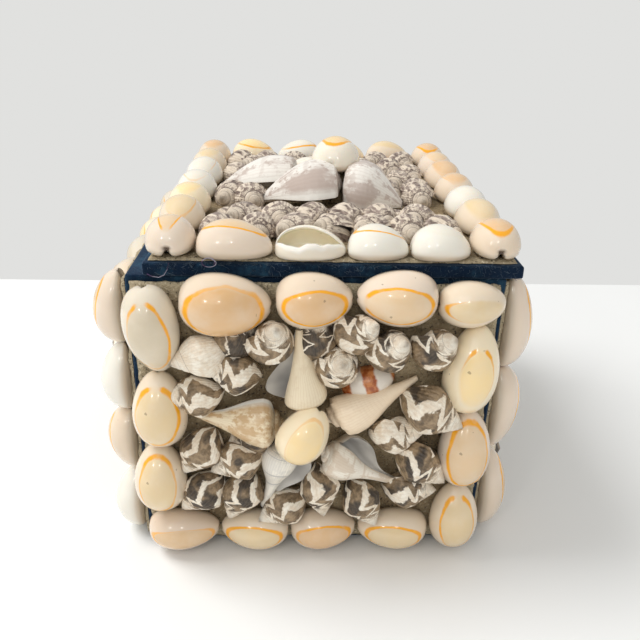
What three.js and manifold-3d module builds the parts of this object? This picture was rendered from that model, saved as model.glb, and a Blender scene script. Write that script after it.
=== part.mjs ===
// A keepsake box covered in sea shells. A board box in velvet stands open under a flat lid that lifts off.
// Thin beds of putty on every face hold a border of cowries, a flower of shells and a field of small ones.
import * as THREE from 'three';
import { mergeVertices } from 'three/addons/utils/BufferGeometryUtils.js';
import Module from 'manifold-3d';

const wasm = await Module();
wasm.setup();

// Driving dimensions in millimetres. The short side at -Y is the front and the box stands on z = 0.
const boxWidth = 95;
const boxDepth = 119;
const boxHeight = 82.5;
const wallThick = 5;
const floorThick = 4;
const lidShort = 1;
const lidThick = 3.25;
const lidShiftRight = 4.25;
const lidShiftFront = 1.5;

// The velvet's pile parts the board from what rests on it, and a strip of it shows round each bed.
const velvetPile = 0.3;
const bareVelvet = 1.25;
const bedThick = 1.25;
const lidBedThick = 0.75;
const clearance = 0.3;

// Cowries that stand as pieces of their own, and the putty post that lifts the one in each flower.
const frontCowrieWidth = 14.2;
const lidCowrieWidth = 12.4;
const frontTopRise = 2;
const footGap = 1.2;
const postHeight = 8.5;
const lidPostHeight = 10.5;
const postRadius = 3.6;
const flowerCowrieLength = 16.4;
const flowerCowrieWidth = 12.6;
const frontPetalLength = 25;
const lidPetalLength = 24;

// Shells stuck fast in their bed.
const sideCowrieWidth = 12.4;
const sideFlowerLength = 17;
const smallShellLength = 14;
const smallShellWidth = 10.4;
const sidePitchAcross = 12.4;
const sidePitchUp = 10.6;
const sideRingRadius = 13;
const lidShellLength = 13;
const lidShellWidth = 10;
const lidPitchAcross = 9.6;
const lidPitchUp = 9.4;
const strayStep = 0.5;
const sunk = 1.4;

const degrees = Math.PI / 180;

// Closes a skin over rings of points, with a point at each end. Rings run anticlockwise seen from +X.
function skin(rings, first, last) {
  const points = [first, ...rings.flat(), last];
  const sides = rings[0].length;
  const at = (ring, side) => 1 + ring * sides + (side % sides);
  const triangles = [];
  for (let side = 0; side < sides; side++) {
    triangles.push(0, at(0, side + 1), at(0, side));
    for (let ring = 0; ring + 1 < rings.length; ring++) {
      triangles.push(at(ring, side), at(ring, side + 1), at(ring + 1, side + 1));
      triangles.push(at(ring, side), at(ring + 1, side + 1), at(ring + 1, side));
    }
    triangles.push(points.length - 1, at(rings.length - 1, side), at(rings.length - 1, side + 1));
  }
  const geometry = new THREE.BufferGeometry();
  geometry.setAttribute('position', new THREE.Float32BufferAttribute(points.flat(), 3));
  geometry.setIndex(triangles);
  return geometry;
}

// A cowrie lies along X on its flat mouth, fuller at its -X end. Its edge stands out a third of the way up.
function cowrie({ length, width, rings = 4, round = true }) {
  const height = 0.72 * width;
  const mouthShare = 0.78;
  const edgeLevel = 0.32;
  const tipLevel = 0.24;
  const fullness = 0.8;
  const eggTaper = 0.1;
  const sections = [];
  for (let ring = 1; ring <= rings; ring++) {
    const swing = (ring / (rings + 1)) * Math.PI;
    const along = -Math.cos(swing);
    const size = Math.sin(swing) ** fullness * (1 - eggTaper * along);
    const half = (size * width) / 2;
    const high = size * height;
    const right = [
      [mouthShare * half, 0],
      [half, edgeLevel * high],
    ];
    if (round) right.push([0.7 * half, 0.82 * high]);
    const left = right.map(([across, up]) => [-across, up]).reverse();
    const outline = [...right, [0, high], ...left];
    sections.push(outline.map(([across, up]) => [(along * length) / 2, across, up]));
  }
  const tip = tipLevel * height;
  return skin(sections, [-length / 2, 0, tip], [length / 2, 0, tip]);
}

// A whelk lies along X from its spire at 0 to the tip of its long canal, sunk in putty at its shoulder.
// Its wide mouth opens on the side that lip gives, +1 or -1, and lift raises its spire end. A footed one
// fills the space below it too.
function whelk({ length, width, lip, lift, footed = false }) {
  const radius = width / 2;
  const sides = 8;
  const shoulder = 0.27;
  const mouthEnd = 0.7;
  const knob = 0.06;
  const lipFlare = 0.22;
  const profile = [
    [0.05, 0.22],
    [0.12, 0.5],
    [0.17, 0.6],
    [shoulder, 1],
    [0.44, 0.88],
    [0.66, 0.42],
    [0.93, 0.14],
  ];
  const level = (share) => radius * (0.42 + 0.8 * share - 0.92 * share * share) + lift * (1 - share);
  const rings = profile.map(([share, size]) => {
    const ring = [];
    for (let side = 0; side < sides; side++) {
      const turn = (side / sides) * 2 * Math.PI;
      const knobbed = share === shoulder ? 1 + knob * (-1) ** side : 1;
      const onLipSide = lip * Math.cos(turn) > 0.5 && Math.sin(turn) < 0.5;
      const flare = onLipSide && share > shoulder && share < mouthEnd ? 1 + lipFlare : 1;
      const across = radius * size * knobbed * Math.cos(turn) * flare;
      const up = footed && Math.sin(turn) < 0 ? 0 : level(share) + radius * size * knobbed * Math.sin(turn);
      ring.push([share * length, across, Math.max(0, up)]);
    }
    return ring;
  });
  const end = footed ? 0 : level(1);
  return skin(rings, [0, 0, level(0)], [length, 0, end]);
}

// A small top-shaped shell centred on the origin, with its spire at the +X end.
function topShell({ length, width }, profile, sides) {
  const sections = profile.map(([share, size]) => {
    const section = [];
    for (let side = 0; side < sides; side++) {
      const turn = ((side + 0.5) / sides) * 2 * Math.PI;
      const reach = (size * width) / 2;
      section.push([(share - 0.5) * length, reach * Math.cos(turn), reach * Math.sin(turn)]);
    }
    return section;
  });
  return skin(sections, [-length / 2, 0, 0], [length / 2, 0, 0]);
}

const whorls = [
  [0.1, 0.78],
  [0.4, 1.06],
  [0.76, 0.66],
];
const body = [
  [0.12, 0.84],
  [0.6, 0.96],
];
const belly = [[0.45, 1.15]];

// The front's shells have the most faces and those of the plainer sides the fewest.
const smallShell = (spot) => topShell(spot, whorls, 6);
const lidShell = (spot) => topShell(spot, body, 5);
const plainShell = (spot) => topShell(spot, belly, 5);

// Places a shape at u, v on a face and at a height out of it, first leant out of the face and then turned.
function placing({ u, v, out, turn, lean = 0 }) {
  const spot = new THREE.Object3D();
  spot.rotation.set(0, -lean * degrees, turn * degrees, 'ZYX');
  spot.position.set(u, v, out);
  spot.updateMatrix();
  return spot.matrix;
}

// Lays cowries end to end along a run, each with its share of it, and a clearance between neighbours.
function row({ from, to, at, upright = false, shells, width }) {
  const total = shells.reduce((sum, { share = 1 }) => sum + share, 0);
  const free = to - from - clearance * (shells.length - 1);
  let start = from;
  return shells.map(({ share = 1, wide = 1, tilt = 0, flip = false }) => {
    const length = (free * share) / total;
    const middle = start + length / 2;
    start += length + clearance;
    const turn = (upright ? 90 : 0) + (flip ? 180 : 0) + tilt;
    const [u, v] = upright ? [at, middle] : [middle, at];
    return { u, v, turn, length, width: width * wide };
  });
}

const alike = (count) => Array.from({ length: count }, (_, index) => ({ flip: index % 3 === 1 }));

// A steady wobble between -1 and 1, so that a field of shells isn't laid like tiles.
const wobble = (index, kind) => Math.sin(12.9898 * index + 78.233 * kind);

// Staggered rows of small shells over a patch, leaving out those too near to what keepOff measures.
function field({ halfWide, low, high, pitchU, pitchV, length, width, heading, lean, keepOff }) {
  const across = Math.max(2, Math.floor((2 * halfWide) / pitchU) + 1);
  const up = Math.max(2, Math.floor((high - low) / pitchV) + 1);
  const shells = [];
  for (let line = 0; line < up; line++) {
    const inRow = across - (line % 2);
    for (let step = 0; step < inRow; step++) {
      const index = shells.length + line + step;
      const u = ((step - (inRow - 1) / 2) * 2 * halfWide) / (across - 1) + strayStep * wobble(index, 1);
      const v = low + (line * (high - low)) / (up - 1) + strayStep * wobble(index, 2);
      if (keepOff(u, v)) continue;
      const turn = heading + 50 * wobble(index, 3);
      shells.push({ u, v, turn, lean: lean + 14 * wobble(index, 4), length, width });
    }
  }
  return shells;
}

// How far a point is from a petal's length, less the petal's own half width there.
function clearOf({ u, v, turn, length, width }, pointU, pointV) {
  const along = (pointU - u) * Math.cos(turn * degrees) + (pointV - v) * Math.sin(turn * degrees);
  const share = Math.min(1, Math.max(0, along / length));
  const nearU = u + share * length * Math.cos(turn * degrees);
  const nearV = v + share * length * Math.sin(turn * degrees);
  return Math.hypot(pointU - nearU, pointV - nearV) - (width / 2) * (1.1 - share);
}

function solidOf(geometry, matrix = new THREE.Matrix4()) {
  const bare = geometry.clone().applyMatrix4(matrix);
  bare.deleteAttribute('normal');
  bare.deleteAttribute('uv');
  const merged = mergeVertices(bare);
  const vertProperties = merged.attributes.position.array;
  return new wasm.Manifold(new wasm.Mesh({ numProp: 3, vertProperties, triVerts: merged.index.array }));
}

function geometryOf(solid) {
  const { vertProperties, triVerts } = solid.getMesh();
  const geometry = new THREE.BufferGeometry();
  geometry.setAttribute('position', new THREE.Float32BufferAttribute(vertProperties, 3));
  geometry.setIndex(Array.from(triVerts));
  return geometry;
}

const finish = (color, roughness) =>
  new THREE.MeshStandardMaterial({ color, roughness, metalness: 0, flatShading: true });
const materials = {
  velvet: finish(0x14233f, 0.95),
  putty: finish(0x9c8c76, 0.9),
  cowrie: finish(0xecd9c2, 0.22),
  whelk: finish(0xe2d2ba, 0.55),
};

function named(name, geometry, material) {
  geometry.computeVertexNormals();
  const mesh = new THREE.Mesh(geometry, material);
  mesh.name = name;
  return mesh;
}

// A shell that stands on its bed as a piece of its own: its mesh, and the room it needs with a clearance.
function standing(name, shape, material, spot) {
  const { u, v, out, turn, length, width } = spot;
  const mesh = named(name, shape(spot), material);
  mesh.position.set(u, v, out);
  mesh.rotation.z = turn * degrees;
  const grow = 1 + (2 * clearance) / Math.min(length, width);
  const shift = shape === whelk ? clearance : 0;
  const grown = { ...spot, length: length * grow, width: width * grow, footed: true };
  const [cos, sin] = [Math.cos(turn * degrees), Math.sin(turn * degrees)];
  const corner = { u: u - shift * cos, v: v - shift * sin, out, turn };
  return { mesh, room: solidOf(shape(grown), placing(corner)) };
}

// The bed of putty on one face, and the shells stuck fast in it, cut back from the shells that stand on it.
function bed({ name, left, right, low, high, thick, post, cowries = [], shells, shape, pieces = [] }) {
  const plate = new THREE.BoxGeometry(right - left, high - low, thick);
  plate.translate((left + right) / 2, (low + high) / 2, thick / 2);
  const stuck = [];
  if (post) {
    const tall = thick + post.height - clearance;
    const stem = new THREE.CylinderGeometry(postRadius, 1.3 * postRadius, tall, 8).rotateX(90 * degrees);
    stuck.push(solidOf(stem.translate(post.u, post.v, tall / 2 + clearance)));
  }
  for (const spot of cowries) {
    const coarse = cowrie({ ...spot, rings: 3, round: false });
    stuck.push(solidOf(coarse, placing({ ...spot, out: thick - clearance })));
  }
  for (const spot of shells) {
    const rise = Math.abs(Math.sin(spot.lean * degrees)) * (spot.length - spot.width) * 0.5;
    const depth = sunk + (spot.deeper ?? 0);
    stuck.push(solidOf(shape(spot), placing({ ...spot, out: thick - depth + spot.width / 2 + rise })));
  }
  const faceUp = [0, 0, 1];
  const above = wasm.Manifold.union(stuck).trimByPlane(faceUp, clearance);
  const cut = pieces.reduce((solid, piece) => solid.subtract(piece.room), above);
  const [whole] = cut.add(solidOf(plate)).decompose().sort((one, other) => other.volume() - one.volume());
  return named(name, geometryOf(whole), materials.putty);
}

// A wall of the box, seen from outside: U runs to its right, V up from the ground and the shells stand out.
function wallFace(spin, reach) {
  const face = new THREE.Group();
  face.rotation.set(90 * degrees, spin * degrees, 0);
  face.position.set(0, 0, reach + velvetPile).applyEuler(face.rotation);
  return face;
}

const box = new THREE.Group();

// The box body, open at the top.
const innerHeight = boxHeight - floorThick;
const outerBlock = new THREE.BoxGeometry(boxWidth, boxDepth, boxHeight).translate(0, 0, boxHeight / 2);
const hollow = new THREE.BoxGeometry(boxWidth - 2 * wallThick, boxDepth - 2 * wallThick, innerHeight + 2);
hollow.translate(0, 0, floorThick + innerHeight / 2 + 1);
box.add(named('box_body', geometryOf(solidOf(outerBlock).subtract(solidOf(hollow))), materials.velvet));

// The front face. Its top row rises past the rim, in front of the lid's edge.
const frontHalf = boxWidth / 2;
const frontTop = boxHeight + frontTopRise - frontCowrieWidth / 2;
const frontBottom = footGap + (0.87 * frontCowrieWidth) / 2;
const columnTop = boxHeight - bareVelvet;
const bottomRowTop = frontBottom + frontCowrieWidth / 2;
const columnAt = frontHalf - frontCowrieWidth / 2;
const columnInner = frontHalf - frontCowrieWidth;

const frontRows = {
  top: row({
    from: -columnInner + clearance,
    to: frontHalf - 0.5,
    at: frontTop,
    width: frontCowrieWidth,
    shells: [
      { share: 23.2, wide: 1.05, tilt: -4 },
      { share: 19.6, wide: 1 },
      { share: 20.6, wide: 1, flip: true },
      { share: 17.4, wide: 0.84 },
    ],
  }),
  left: row({
    from: bottomRowTop,
    to: columnTop,
    at: -columnAt,
    upright: true,
    width: frontCowrieWidth,
    shells: [{ share: 19 }, { share: 20 }, { share: 21.5, tilt: 8, wide: 0.96, flip: true }],
  }),
  right: row({
    from: footGap,
    to: frontTop - (0.84 * frontCowrieWidth) / 2,
    at: columnAt,
    upright: true,
    width: frontCowrieWidth,
    shells: [{ share: 18.6, wide: 0.96 }, { share: 21 }, { share: 22.4, tilt: -5 }],
  }),
  bottom: row({
    from: -frontHalf + 1,
    to: columnInner - clearance,
    at: frontBottom,
    width: 0.87 * frontCowrieWidth,
    shells: [{ share: 20 }, { share: 19.4, flip: true }, { share: 18.8 }, { share: 20.2, flip: true }],
  }),
};

// The front field lies between the rows. Its flower and small shells sit at shares of its half sizes.
const fieldHalfU = columnInner;
const fieldMiddle = (bottomRowTop + boxHeight - frontCowrieWidth) / 2;
const fieldHalfV = (boxHeight - frontCowrieWidth - bottomRowTop) / 2;
const onFront = ([shareU, shareV]) => ({ u: shareU * fieldHalfU, v: fieldMiddle + shareV * fieldHalfV });

const frontFlower = onFront([-0.09, 0.12]);
const flowerCowrie = { length: flowerCowrieLength, width: flowerCowrieWidth };
const frontCentre = { ...frontFlower, ...flowerCowrie, turn: 60, out: bedThick + postHeight };

// Long shells of the front flower, in shares of their named length, with the lift of their spire end.
const frontPetals = [
  { start: 0.14, sideways: 0.06, turn: 93, length: 0.9, width: 0.51, lip: 1, lift: 0.5 },
  { start: 0.185, sideways: -0.135, turn: 24, length: 1.08, width: 0.456, lip: 1, lift: 2 },
  { start: 0.32, sideways: -0.138, turn: -30, length: 1, width: 0.45, lip: 1, lift: 0.5 },
  { start: 0.288, sideways: 0, turn: 252, length: 0.96, width: 0.43, lip: 1, lift: 0 },
  { start: 0.152, sideways: 0.08, turn: 173, length: 1, width: 0.52, lip: -1, lift: 0.5 },
];

// Small shells of the front: share of the field's half width and half height, heading of the spire, lean,
// and for some how much bigger they are, or how much deeper they sit in the putty.
const frontShells = [
  { at: [-0.34, 0.98], turn: 78, lean: 30 },
  { at: [-0.88, 0.8], turn: 196, lean: 0 },
  { at: [-0.63, 0.63], turn: 165, lean: 5 },
  { at: [-0.93, 0.38], turn: 180, lean: 5 },
  { at: [-0.92, -0.26], turn: 236, lean: 0 },
  { at: [-0.62, -0.36], turn: 200, lean: 5 },
  { at: [-0.92, -0.76], turn: 222, lean: 0 },
  { at: [-0.6, -0.78], turn: 245, lean: 10 },
  { at: [-0.25, -0.95], turn: 205, lean: 10 },
  { at: [0.06, -0.72], turn: 280, lean: 10 },
  { at: [0.41, -0.88], turn: 300, lean: 10 },
  { at: [0.79, -0.72], turn: 5, lean: 5 },
  { at: [0.86, -0.38], turn: 325, lean: 10, bigger: 1.1 },
  { at: [0.65, -0.04], turn: 14, lean: 5 },
  { at: [0.91, 0.24], turn: 335, lean: 5, bigger: 1.2 },
  { at: [0.89, 0.92], turn: 50, lean: 25 },
  { at: [0.53, 0.93], turn: 56, lean: 35, bigger: 1.06 },
  { at: [0.29, 1.08], turn: 45, lean: 25 },
  { at: [0.15, 0.73], turn: 80, lean: 50 },
  { at: [0, 0.97], turn: 95, lean: 0, deeper: 2 },
  { at: [-0.6, 0.97], turn: 60, lean: 0, deeper: 2.5 },
  { at: [0.45, 0.42], turn: 20, lean: 0, deeper: 1 },
];

// Turns a petal's start, sideways step and heading into a place on its face.
function petalOn(centre, petal, reach, out) {
  const { turn, lip, lift } = petal;
  const [cos, sin] = [reach * Math.cos(turn * degrees), reach * Math.sin(turn * degrees)];
  const u = centre.u + petal.start * cos - petal.sideways * sin;
  const v = centre.v + petal.start * sin + petal.sideways * cos;
  return { u, v, turn, lip, lift, out, length: petal.length * reach, width: petal.width * reach };
}

const front = wallFace(0, boxDepth / 2);
const frontPieces = Object.entries(frontRows).flatMap(([side, spots]) =>
  spots.map((spot, index) =>
    standing(`front_cowrie_${side}_${index + 1}`, cowrie, materials.cowrie, { ...spot, out: bedThick }),
  ),
);
frontPieces.push(standing('front_flower_cowrie', cowrie, materials.cowrie, frontCentre));
frontPetals.forEach((petal, index) => {
  const spot = petalOn(frontFlower, petal, frontPetalLength, bedThick);
  frontPieces.push(standing(`front_petal_${index + 1}`, whelk, materials.whelk, spot));
});
const frontBed = bed({
  name: 'front_bed',
  left: -frontHalf + bareVelvet,
  right: frontHalf - bareVelvet,
  low: bareVelvet,
  high: boxHeight - bareVelvet,
  thick: bedThick,
  post: { ...frontFlower, height: postHeight },
  shells: frontShells.map(({ at, bigger = 1, ...rest }) => ({
    ...onFront(at),
    ...rest,
    length: bigger * smallShellLength,
    width: bigger * smallShellWidth,
  })),
  shape: smallShell,
  pieces: frontPieces,
});
front.add(frontBed, ...frontPieces.map((piece) => piece.mesh));
box.add(front);

// The back and the long sides are plainer: a border, one cowrie in a ring of small shells, and a field.
// The border has so many cowries across in each row, and so many up in each column.
function plainSide({ name, spin, reach, width, across, up }) {
  const half = width / 2;
  const shell = sideCowrieWidth;
  const rim = boxHeight - 0.5;
  const inner = half - shell - clearance;
  const middle = { u: 0, v: boxHeight / 2 };
  const column = { from: footGap, to: rim, upright: true, width: shell, shells: alike(up) };
  const columns = [-1, 1].flatMap((side) => row({ ...column, at: side * (half - shell / 2) }));
  const lines = [footGap + shell / 2, rim - shell / 2].flatMap((at) =>
    row({ from: -inner, to: inner, at, width: shell, shells: alike(across) }),
  );
  const ringShells = 6;
  const ring = Array.from({ length: ringShells }, (_, index) => {
    const turn = (360 / ringShells) * index;
    const [cos, sin] = [Math.cos(turn * degrees), Math.sin(turn * degrees)];
    const [u, v] = [middle.u + sideRingRadius * cos, middle.v + sideRingRadius * sin];
    return { u, v, turn, lean: 5, length: smallShellLength, width: smallShellWidth };
  });
  const around = field({
    halfWide: inner - smallShellWidth / 2,
    low: footGap + shell + smallShellWidth / 2,
    high: rim - shell - smallShellWidth / 2,
    pitchU: sidePitchAcross,
    pitchV: sidePitchUp,
    length: smallShellLength,
    width: smallShellWidth,
    heading: 200,
    lean: 8,
    keepOff: (u, v) => Math.hypot(u - middle.u, v - middle.v) < sideRingRadius + 0.57 * smallShellLength,
  });
  const face = wallFace(spin, reach);
  face.add(
    bed({
      name,
      left: -half + bareVelvet,
      right: half - bareVelvet,
      low: bareVelvet,
      high: boxHeight - bareVelvet,
      thick: bedThick,
      cowries: [...columns, ...lines, { ...middle, turn: 90, length: sideFlowerLength, width: shell }],
      shells: [...ring, ...around],
      shape: plainShell,
    }),
  );
  return face;
}

box.add(plainSide({ name: 'back_bed', spin: 180, reach: boxDepth / 2, width: boxWidth, across: 4, up: 4 }));
box.add(plainSide({ name: 'left_bed', spin: -90, reach: boxWidth / 2, width: boxDepth, across: 5, up: 4 }));
box.add(plainSide({ name: 'right_bed', spin: 90, reach: boxWidth / 2, width: boxDepth, across: 5, up: 3 }));

// The lid rests on the rim, pushed a little to the right and to the front. It is a little short of the box.
const lidWidth = boxWidth - lidShort;
const lidDepth = boxDepth - lidShort;
const lid = new THREE.Group();
lid.position.set(lidShiftRight, -lidShiftFront, boxHeight + velvetPile);
const lidBoard = new THREE.BoxGeometry(lidWidth, lidDepth, lidThick).translate(0, 0, lidThick / 2);
lid.add(named('lid_board', lidBoard, materials.velvet));

const lidTop = new THREE.Group();
lidTop.position.z = lidThick + velvetPile;
const lidHalfU = lidWidth / 2;
const lidHalfV = lidDepth / 2;
const lidInnerU = lidHalfU - lidCowrieWidth;
const lidInnerV = lidHalfV - lidCowrieWidth;
const lidEnd = { from: -lidInnerU + clearance, to: lidInnerU - clearance, width: lidCowrieWidth };
const lidSide = { from: -lidHalfV, to: lidHalfV, upright: true, width: lidCowrieWidth };
const lidRows = {
  front: row({
    ...lidEnd,
    at: -lidHalfV + lidCowrieWidth / 2,
    shells: [
      { share: 19.8, wide: 1.04 },
      { share: 18.4 },
      { share: 16, wide: 0.95 },
      { share: 15.8, wide: 0.96 },
    ],
  }),
  back: row({ ...lidEnd, at: lidHalfV - lidCowrieWidth / 2, shells: alike(4) }),
  left: row({ ...lidSide, at: -lidHalfU + lidCowrieWidth / 2, shells: alike(7) }),
  right: row({ ...lidSide, at: lidHalfU - lidCowrieWidth / 2, shells: alike(7) }),
};

const lidFlower = { u: 0.04 * lidHalfU, v: -0.01 * lidHalfV };
const lidCentre = { ...lidFlower, ...flowerCowrie, turn: 75, out: lidBedThick + lidPostHeight };
const lidPetals = [
  { start: -0.018, sideways: 0.375, turn: 186, length: 1.06, width: 0.558, lip: 1, lift: 2.5 },
  { start: 0.269, sideways: -0.204, turn: 340, length: 0.8, width: 0.525, lip: -1, lift: 2.5 },
  { start: 0.33, sideways: -0.167, turn: 177, length: 1.125, width: 0.5, lip: 1, lift: 2 },
  { start: 0.375, sideways: -0.058, turn: 119, length: 0.917, width: 0.475, lip: 1, lift: 2 },
  { start: 0.308, sideways: 0.042, turn: 40, length: 0.875, width: 0.483, lip: -1, lift: 2 },
];

const lidPieces = Object.entries(lidRows).flatMap(([side, spots]) =>
  spots.map((spot, index) => {
    const onLid = { ...spot, out: lidBedThick, rings: 3 };
    return standing(`lid_cowrie_${side}_${index + 1}`, cowrie, materials.cowrie, onLid);
  }),
);
lidPieces.push(standing('lid_flower_cowrie', cowrie, materials.cowrie, lidCentre));
const lidPetalSpots = lidPetals.map((petal) => petalOn(lidFlower, petal, lidPetalLength, lidBedThick));
lidPetalSpots.forEach((spot, index) => {
  lidPieces.push(standing(`lid_petal_${index + 1}`, whelk, materials.whelk, spot));
});
const lidBed = bed({
  name: 'lid_bed',
  left: -lidHalfU + bareVelvet,
  right: lidHalfU - bareVelvet,
  low: -lidHalfV + bareVelvet,
  high: lidHalfV - bareVelvet,
  thick: lidBedThick,
  post: { ...lidFlower, height: lidPostHeight },
  shells: field({
    halfWide: lidInnerU - clearance - lidShellWidth / 2,
    low: -lidInnerV + lidShellWidth / 2,
    high: lidInnerV - lidShellWidth / 2,
    pitchU: lidPitchAcross,
    pitchV: lidPitchUp,
    length: lidShellLength,
    width: lidShellWidth,
    heading: 270,
    lean: 16,
    keepOff: (u, v) =>
      Math.hypot(u - lidFlower.u, v - lidFlower.v) < postRadius + lidShellWidth / 2 ||
      lidPetalSpots.some((petal) => clearOf(petal, u, v) < 0.3 * lidShellWidth),
  }),
  shape: lidShell,
  pieces: lidPieces,
});
lidTop.add(lidBed, ...lidPieces.map((piece) => piece.mesh));
lid.add(lidTop);
box.add(lid);

export default box;
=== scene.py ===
"""A keepsake box covered in cowries, whelks and small striped shells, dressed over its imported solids."""

import math

import bmesh
import bpy
import numpy as np
from mathutils import Matrix, Vector, noise


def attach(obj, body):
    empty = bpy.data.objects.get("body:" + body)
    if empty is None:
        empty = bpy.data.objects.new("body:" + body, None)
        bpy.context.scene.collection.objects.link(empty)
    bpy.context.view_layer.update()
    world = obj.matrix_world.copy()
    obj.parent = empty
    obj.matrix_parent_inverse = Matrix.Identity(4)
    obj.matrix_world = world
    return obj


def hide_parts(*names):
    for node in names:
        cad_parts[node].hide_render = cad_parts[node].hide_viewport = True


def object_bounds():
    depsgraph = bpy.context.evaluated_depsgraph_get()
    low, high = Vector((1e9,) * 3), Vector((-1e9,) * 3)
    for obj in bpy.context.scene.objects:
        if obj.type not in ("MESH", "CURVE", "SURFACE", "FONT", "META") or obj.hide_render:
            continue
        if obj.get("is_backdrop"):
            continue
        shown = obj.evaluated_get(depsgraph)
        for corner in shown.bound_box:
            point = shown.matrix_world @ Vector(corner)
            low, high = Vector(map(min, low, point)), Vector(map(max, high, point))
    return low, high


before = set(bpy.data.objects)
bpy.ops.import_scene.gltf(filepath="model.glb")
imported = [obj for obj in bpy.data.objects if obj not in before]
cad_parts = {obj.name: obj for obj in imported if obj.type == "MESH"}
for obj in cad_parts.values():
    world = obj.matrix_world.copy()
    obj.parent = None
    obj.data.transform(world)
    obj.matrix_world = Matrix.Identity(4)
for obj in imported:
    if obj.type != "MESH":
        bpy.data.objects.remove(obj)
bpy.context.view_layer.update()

# Box body. A small open box of thin board, wrapped and lined in navy velvet that is glued down.
# The cloth softens its edges, and a strip of it shows round each bed of putty and along the rim.
mm = 0.001
box_width = 95.0
box_depth = 119.0
box_height = 82.5
wall_thick = 5.0
floor_thick = 4.0
velvet_edge = 0.7
# Without a seed of its own, the noise that pulls the velvet's edges would follow the clock.
velvet_seed = 7
noise.seed_set(velvet_seed)


def placed(name, mesh, material, matrix, nodes):
    """Puts a mesh in the scene as a piece that rides on the box and stands for its solids."""
    mesh.materials.append(material)
    piece = bpy.data.objects.new(name, mesh)
    piece.matrix_world = matrix
    bpy.context.scene.collection.objects.link(piece)
    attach(piece, "root")
    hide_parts(*nodes)
    return piece


class Brush:
    """Lays out the shader nodes of one material or one group."""

    def __init__(self, tree):
        self.tree = tree
        self.column = 0

    def node(self, kind, values=None, **settings):
        made = self.tree.nodes.new(kind)
        self.column += 1
        made.location = (180 * (self.column % 14), -220 * (self.column // 14))
        for key, value in settings.items():
            setattr(made, key, value)
        for socket, value in (values or {}).items():
            self.feed(made.inputs[socket], value)
        return made

    def feed(self, socket, value):
        """Links a socket or sets it. A colour may be given without its alpha."""
        if isinstance(value, bpy.types.NodeSocket):
            self.tree.links.new(value, socket)
        elif socket.type == "RGBA" and len(value) == 3:
            socket.default_value = (*value, 1.0)
        else:
            socket.default_value = value

    def math(self, operation, *values, clamp=False):
        made = self.node("ShaderNodeMath", operation=operation, use_clamp=clamp)
        for socket, value in zip(made.inputs, values):
            self.feed(socket, value)
        return made.outputs[0]

    def times(self, *values, clamp=False):
        return self.math("MULTIPLY", *values, clamp=clamp)

    def scaled(self, value, by, plus):
        return self.math("MULTIPLY_ADD", value, by, plus)

    def rest(self, value):
        """What is left of one."""
        return self.math("SUBTRACT", 1.0, value)

    def step(self, value, low, high):
        """A smooth step from 0 at low to 1 at high."""
        made = self.node("ShaderNodeMapRange", interpolation_type="SMOOTHSTEP")
        for key, given in (("Value", value), ("From Min", low), ("From Max", high)):
            self.feed(made.inputs[key], given)
        return made.outputs["Result"]

    def mix(self, share, first, second):
        made = self.node("ShaderNodeMix", data_type="RGBA")
        for socket, value in ((0, share), (6, first), (7, second)):
            self.feed(made.inputs[socket], value)
        return made.outputs[2]

    def grain(self, where, scale, detail=2.0, rough=0.5):
        values = {"Vector": where, "Scale": scale, "Detail": detail, "Roughness": rough}
        return self.node("ShaderNodeTexNoise", values).outputs["Fac"]

    def read(self, name, output="Vector"):
        """What the mesh keeps under a name at each point."""
        return self.node("ShaderNodeAttribute", attribute_name=name).outputs[output]

    def parts(self, vector):
        """The three numbers of a vector."""
        return self.node("ShaderNodeSeparateXYZ", {"Vector": vector}).outputs

    def vector(self, x, y, z):
        return self.node("ShaderNodeCombineXYZ", {"X": x, "Y": y, "Z": z}).outputs[0]

    def paint(self, shader, share, first, second):
        self.feed(shader["Base Color"], self.mix(share, first, second))

    def bump(self, shader, height, distance, strength):
        made = self.node("ShaderNodeBump", {"Height": height, "Distance": distance, "Strength": strength})
        self.feed(shader["Normal"], made.outputs["Normal"])

    def group(self, tree, **values):
        made = self.node("ShaderNodeGroup", node_tree=tree)
        for key, value in values.items():
            self.feed(made.inputs[key.replace("_", " ")], value)
        return made.outputs


def shader_group(name, inputs, outputs):
    """An empty shader node group with named sockets: its brush, and its two end nodes."""
    tree = bpy.data.node_groups.new(name, "ShaderNodeTree")
    for direction, sockets in (("INPUT", inputs), ("OUTPUT", outputs)):
        for label, kind in sockets.items():
            tree.interface.new_socket(label, in_out=direction, socket_type="NodeSocket" + kind)
    brush = Brush(tree)
    return tree, brush, brush.node("NodeGroupInput").outputs, brush.node("NodeGroupOutput").inputs


def surface(name, roughness, **constants):
    """A material with a principled shader, its constants set on the shader's own sockets, and its place."""
    material = bpy.data.materials.new(name)
    material.use_nodes = True
    brush = Brush(material.node_tree)
    shader = material.node_tree.nodes["Principled BSDF"]
    shader.inputs["Roughness"].default_value = roughness
    for key, value in constants.items():
        shader.inputs[key.replace("_", " ")].default_value = value
    return material, brush, shader.inputs, brush.node("ShaderNodeTexCoord").outputs["Object"]


# Grit, nap and grain are all a bump of fine noise in two sizes.
grain_tree, brush, given, result = shader_group(
    "Fine Grain",
    {"Where": "Vector", "Coarse": "Float", "Fine": "Float", "Height": "Float"},
    {"Normal": "Vector"},
)
coarse = brush.grain(given["Where"], given["Coarse"], 3.0)
fine = brush.grain(given["Where"], given["Fine"], 2.0)
both = brush.scaled(fine, 0.5, coarse)
bump = brush.node("ShaderNodeBump", {"Height": both, "Distance": given["Height"], "Strength": 1.0})
brush.feed(result["Normal"], bump.outputs["Normal"])

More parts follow.
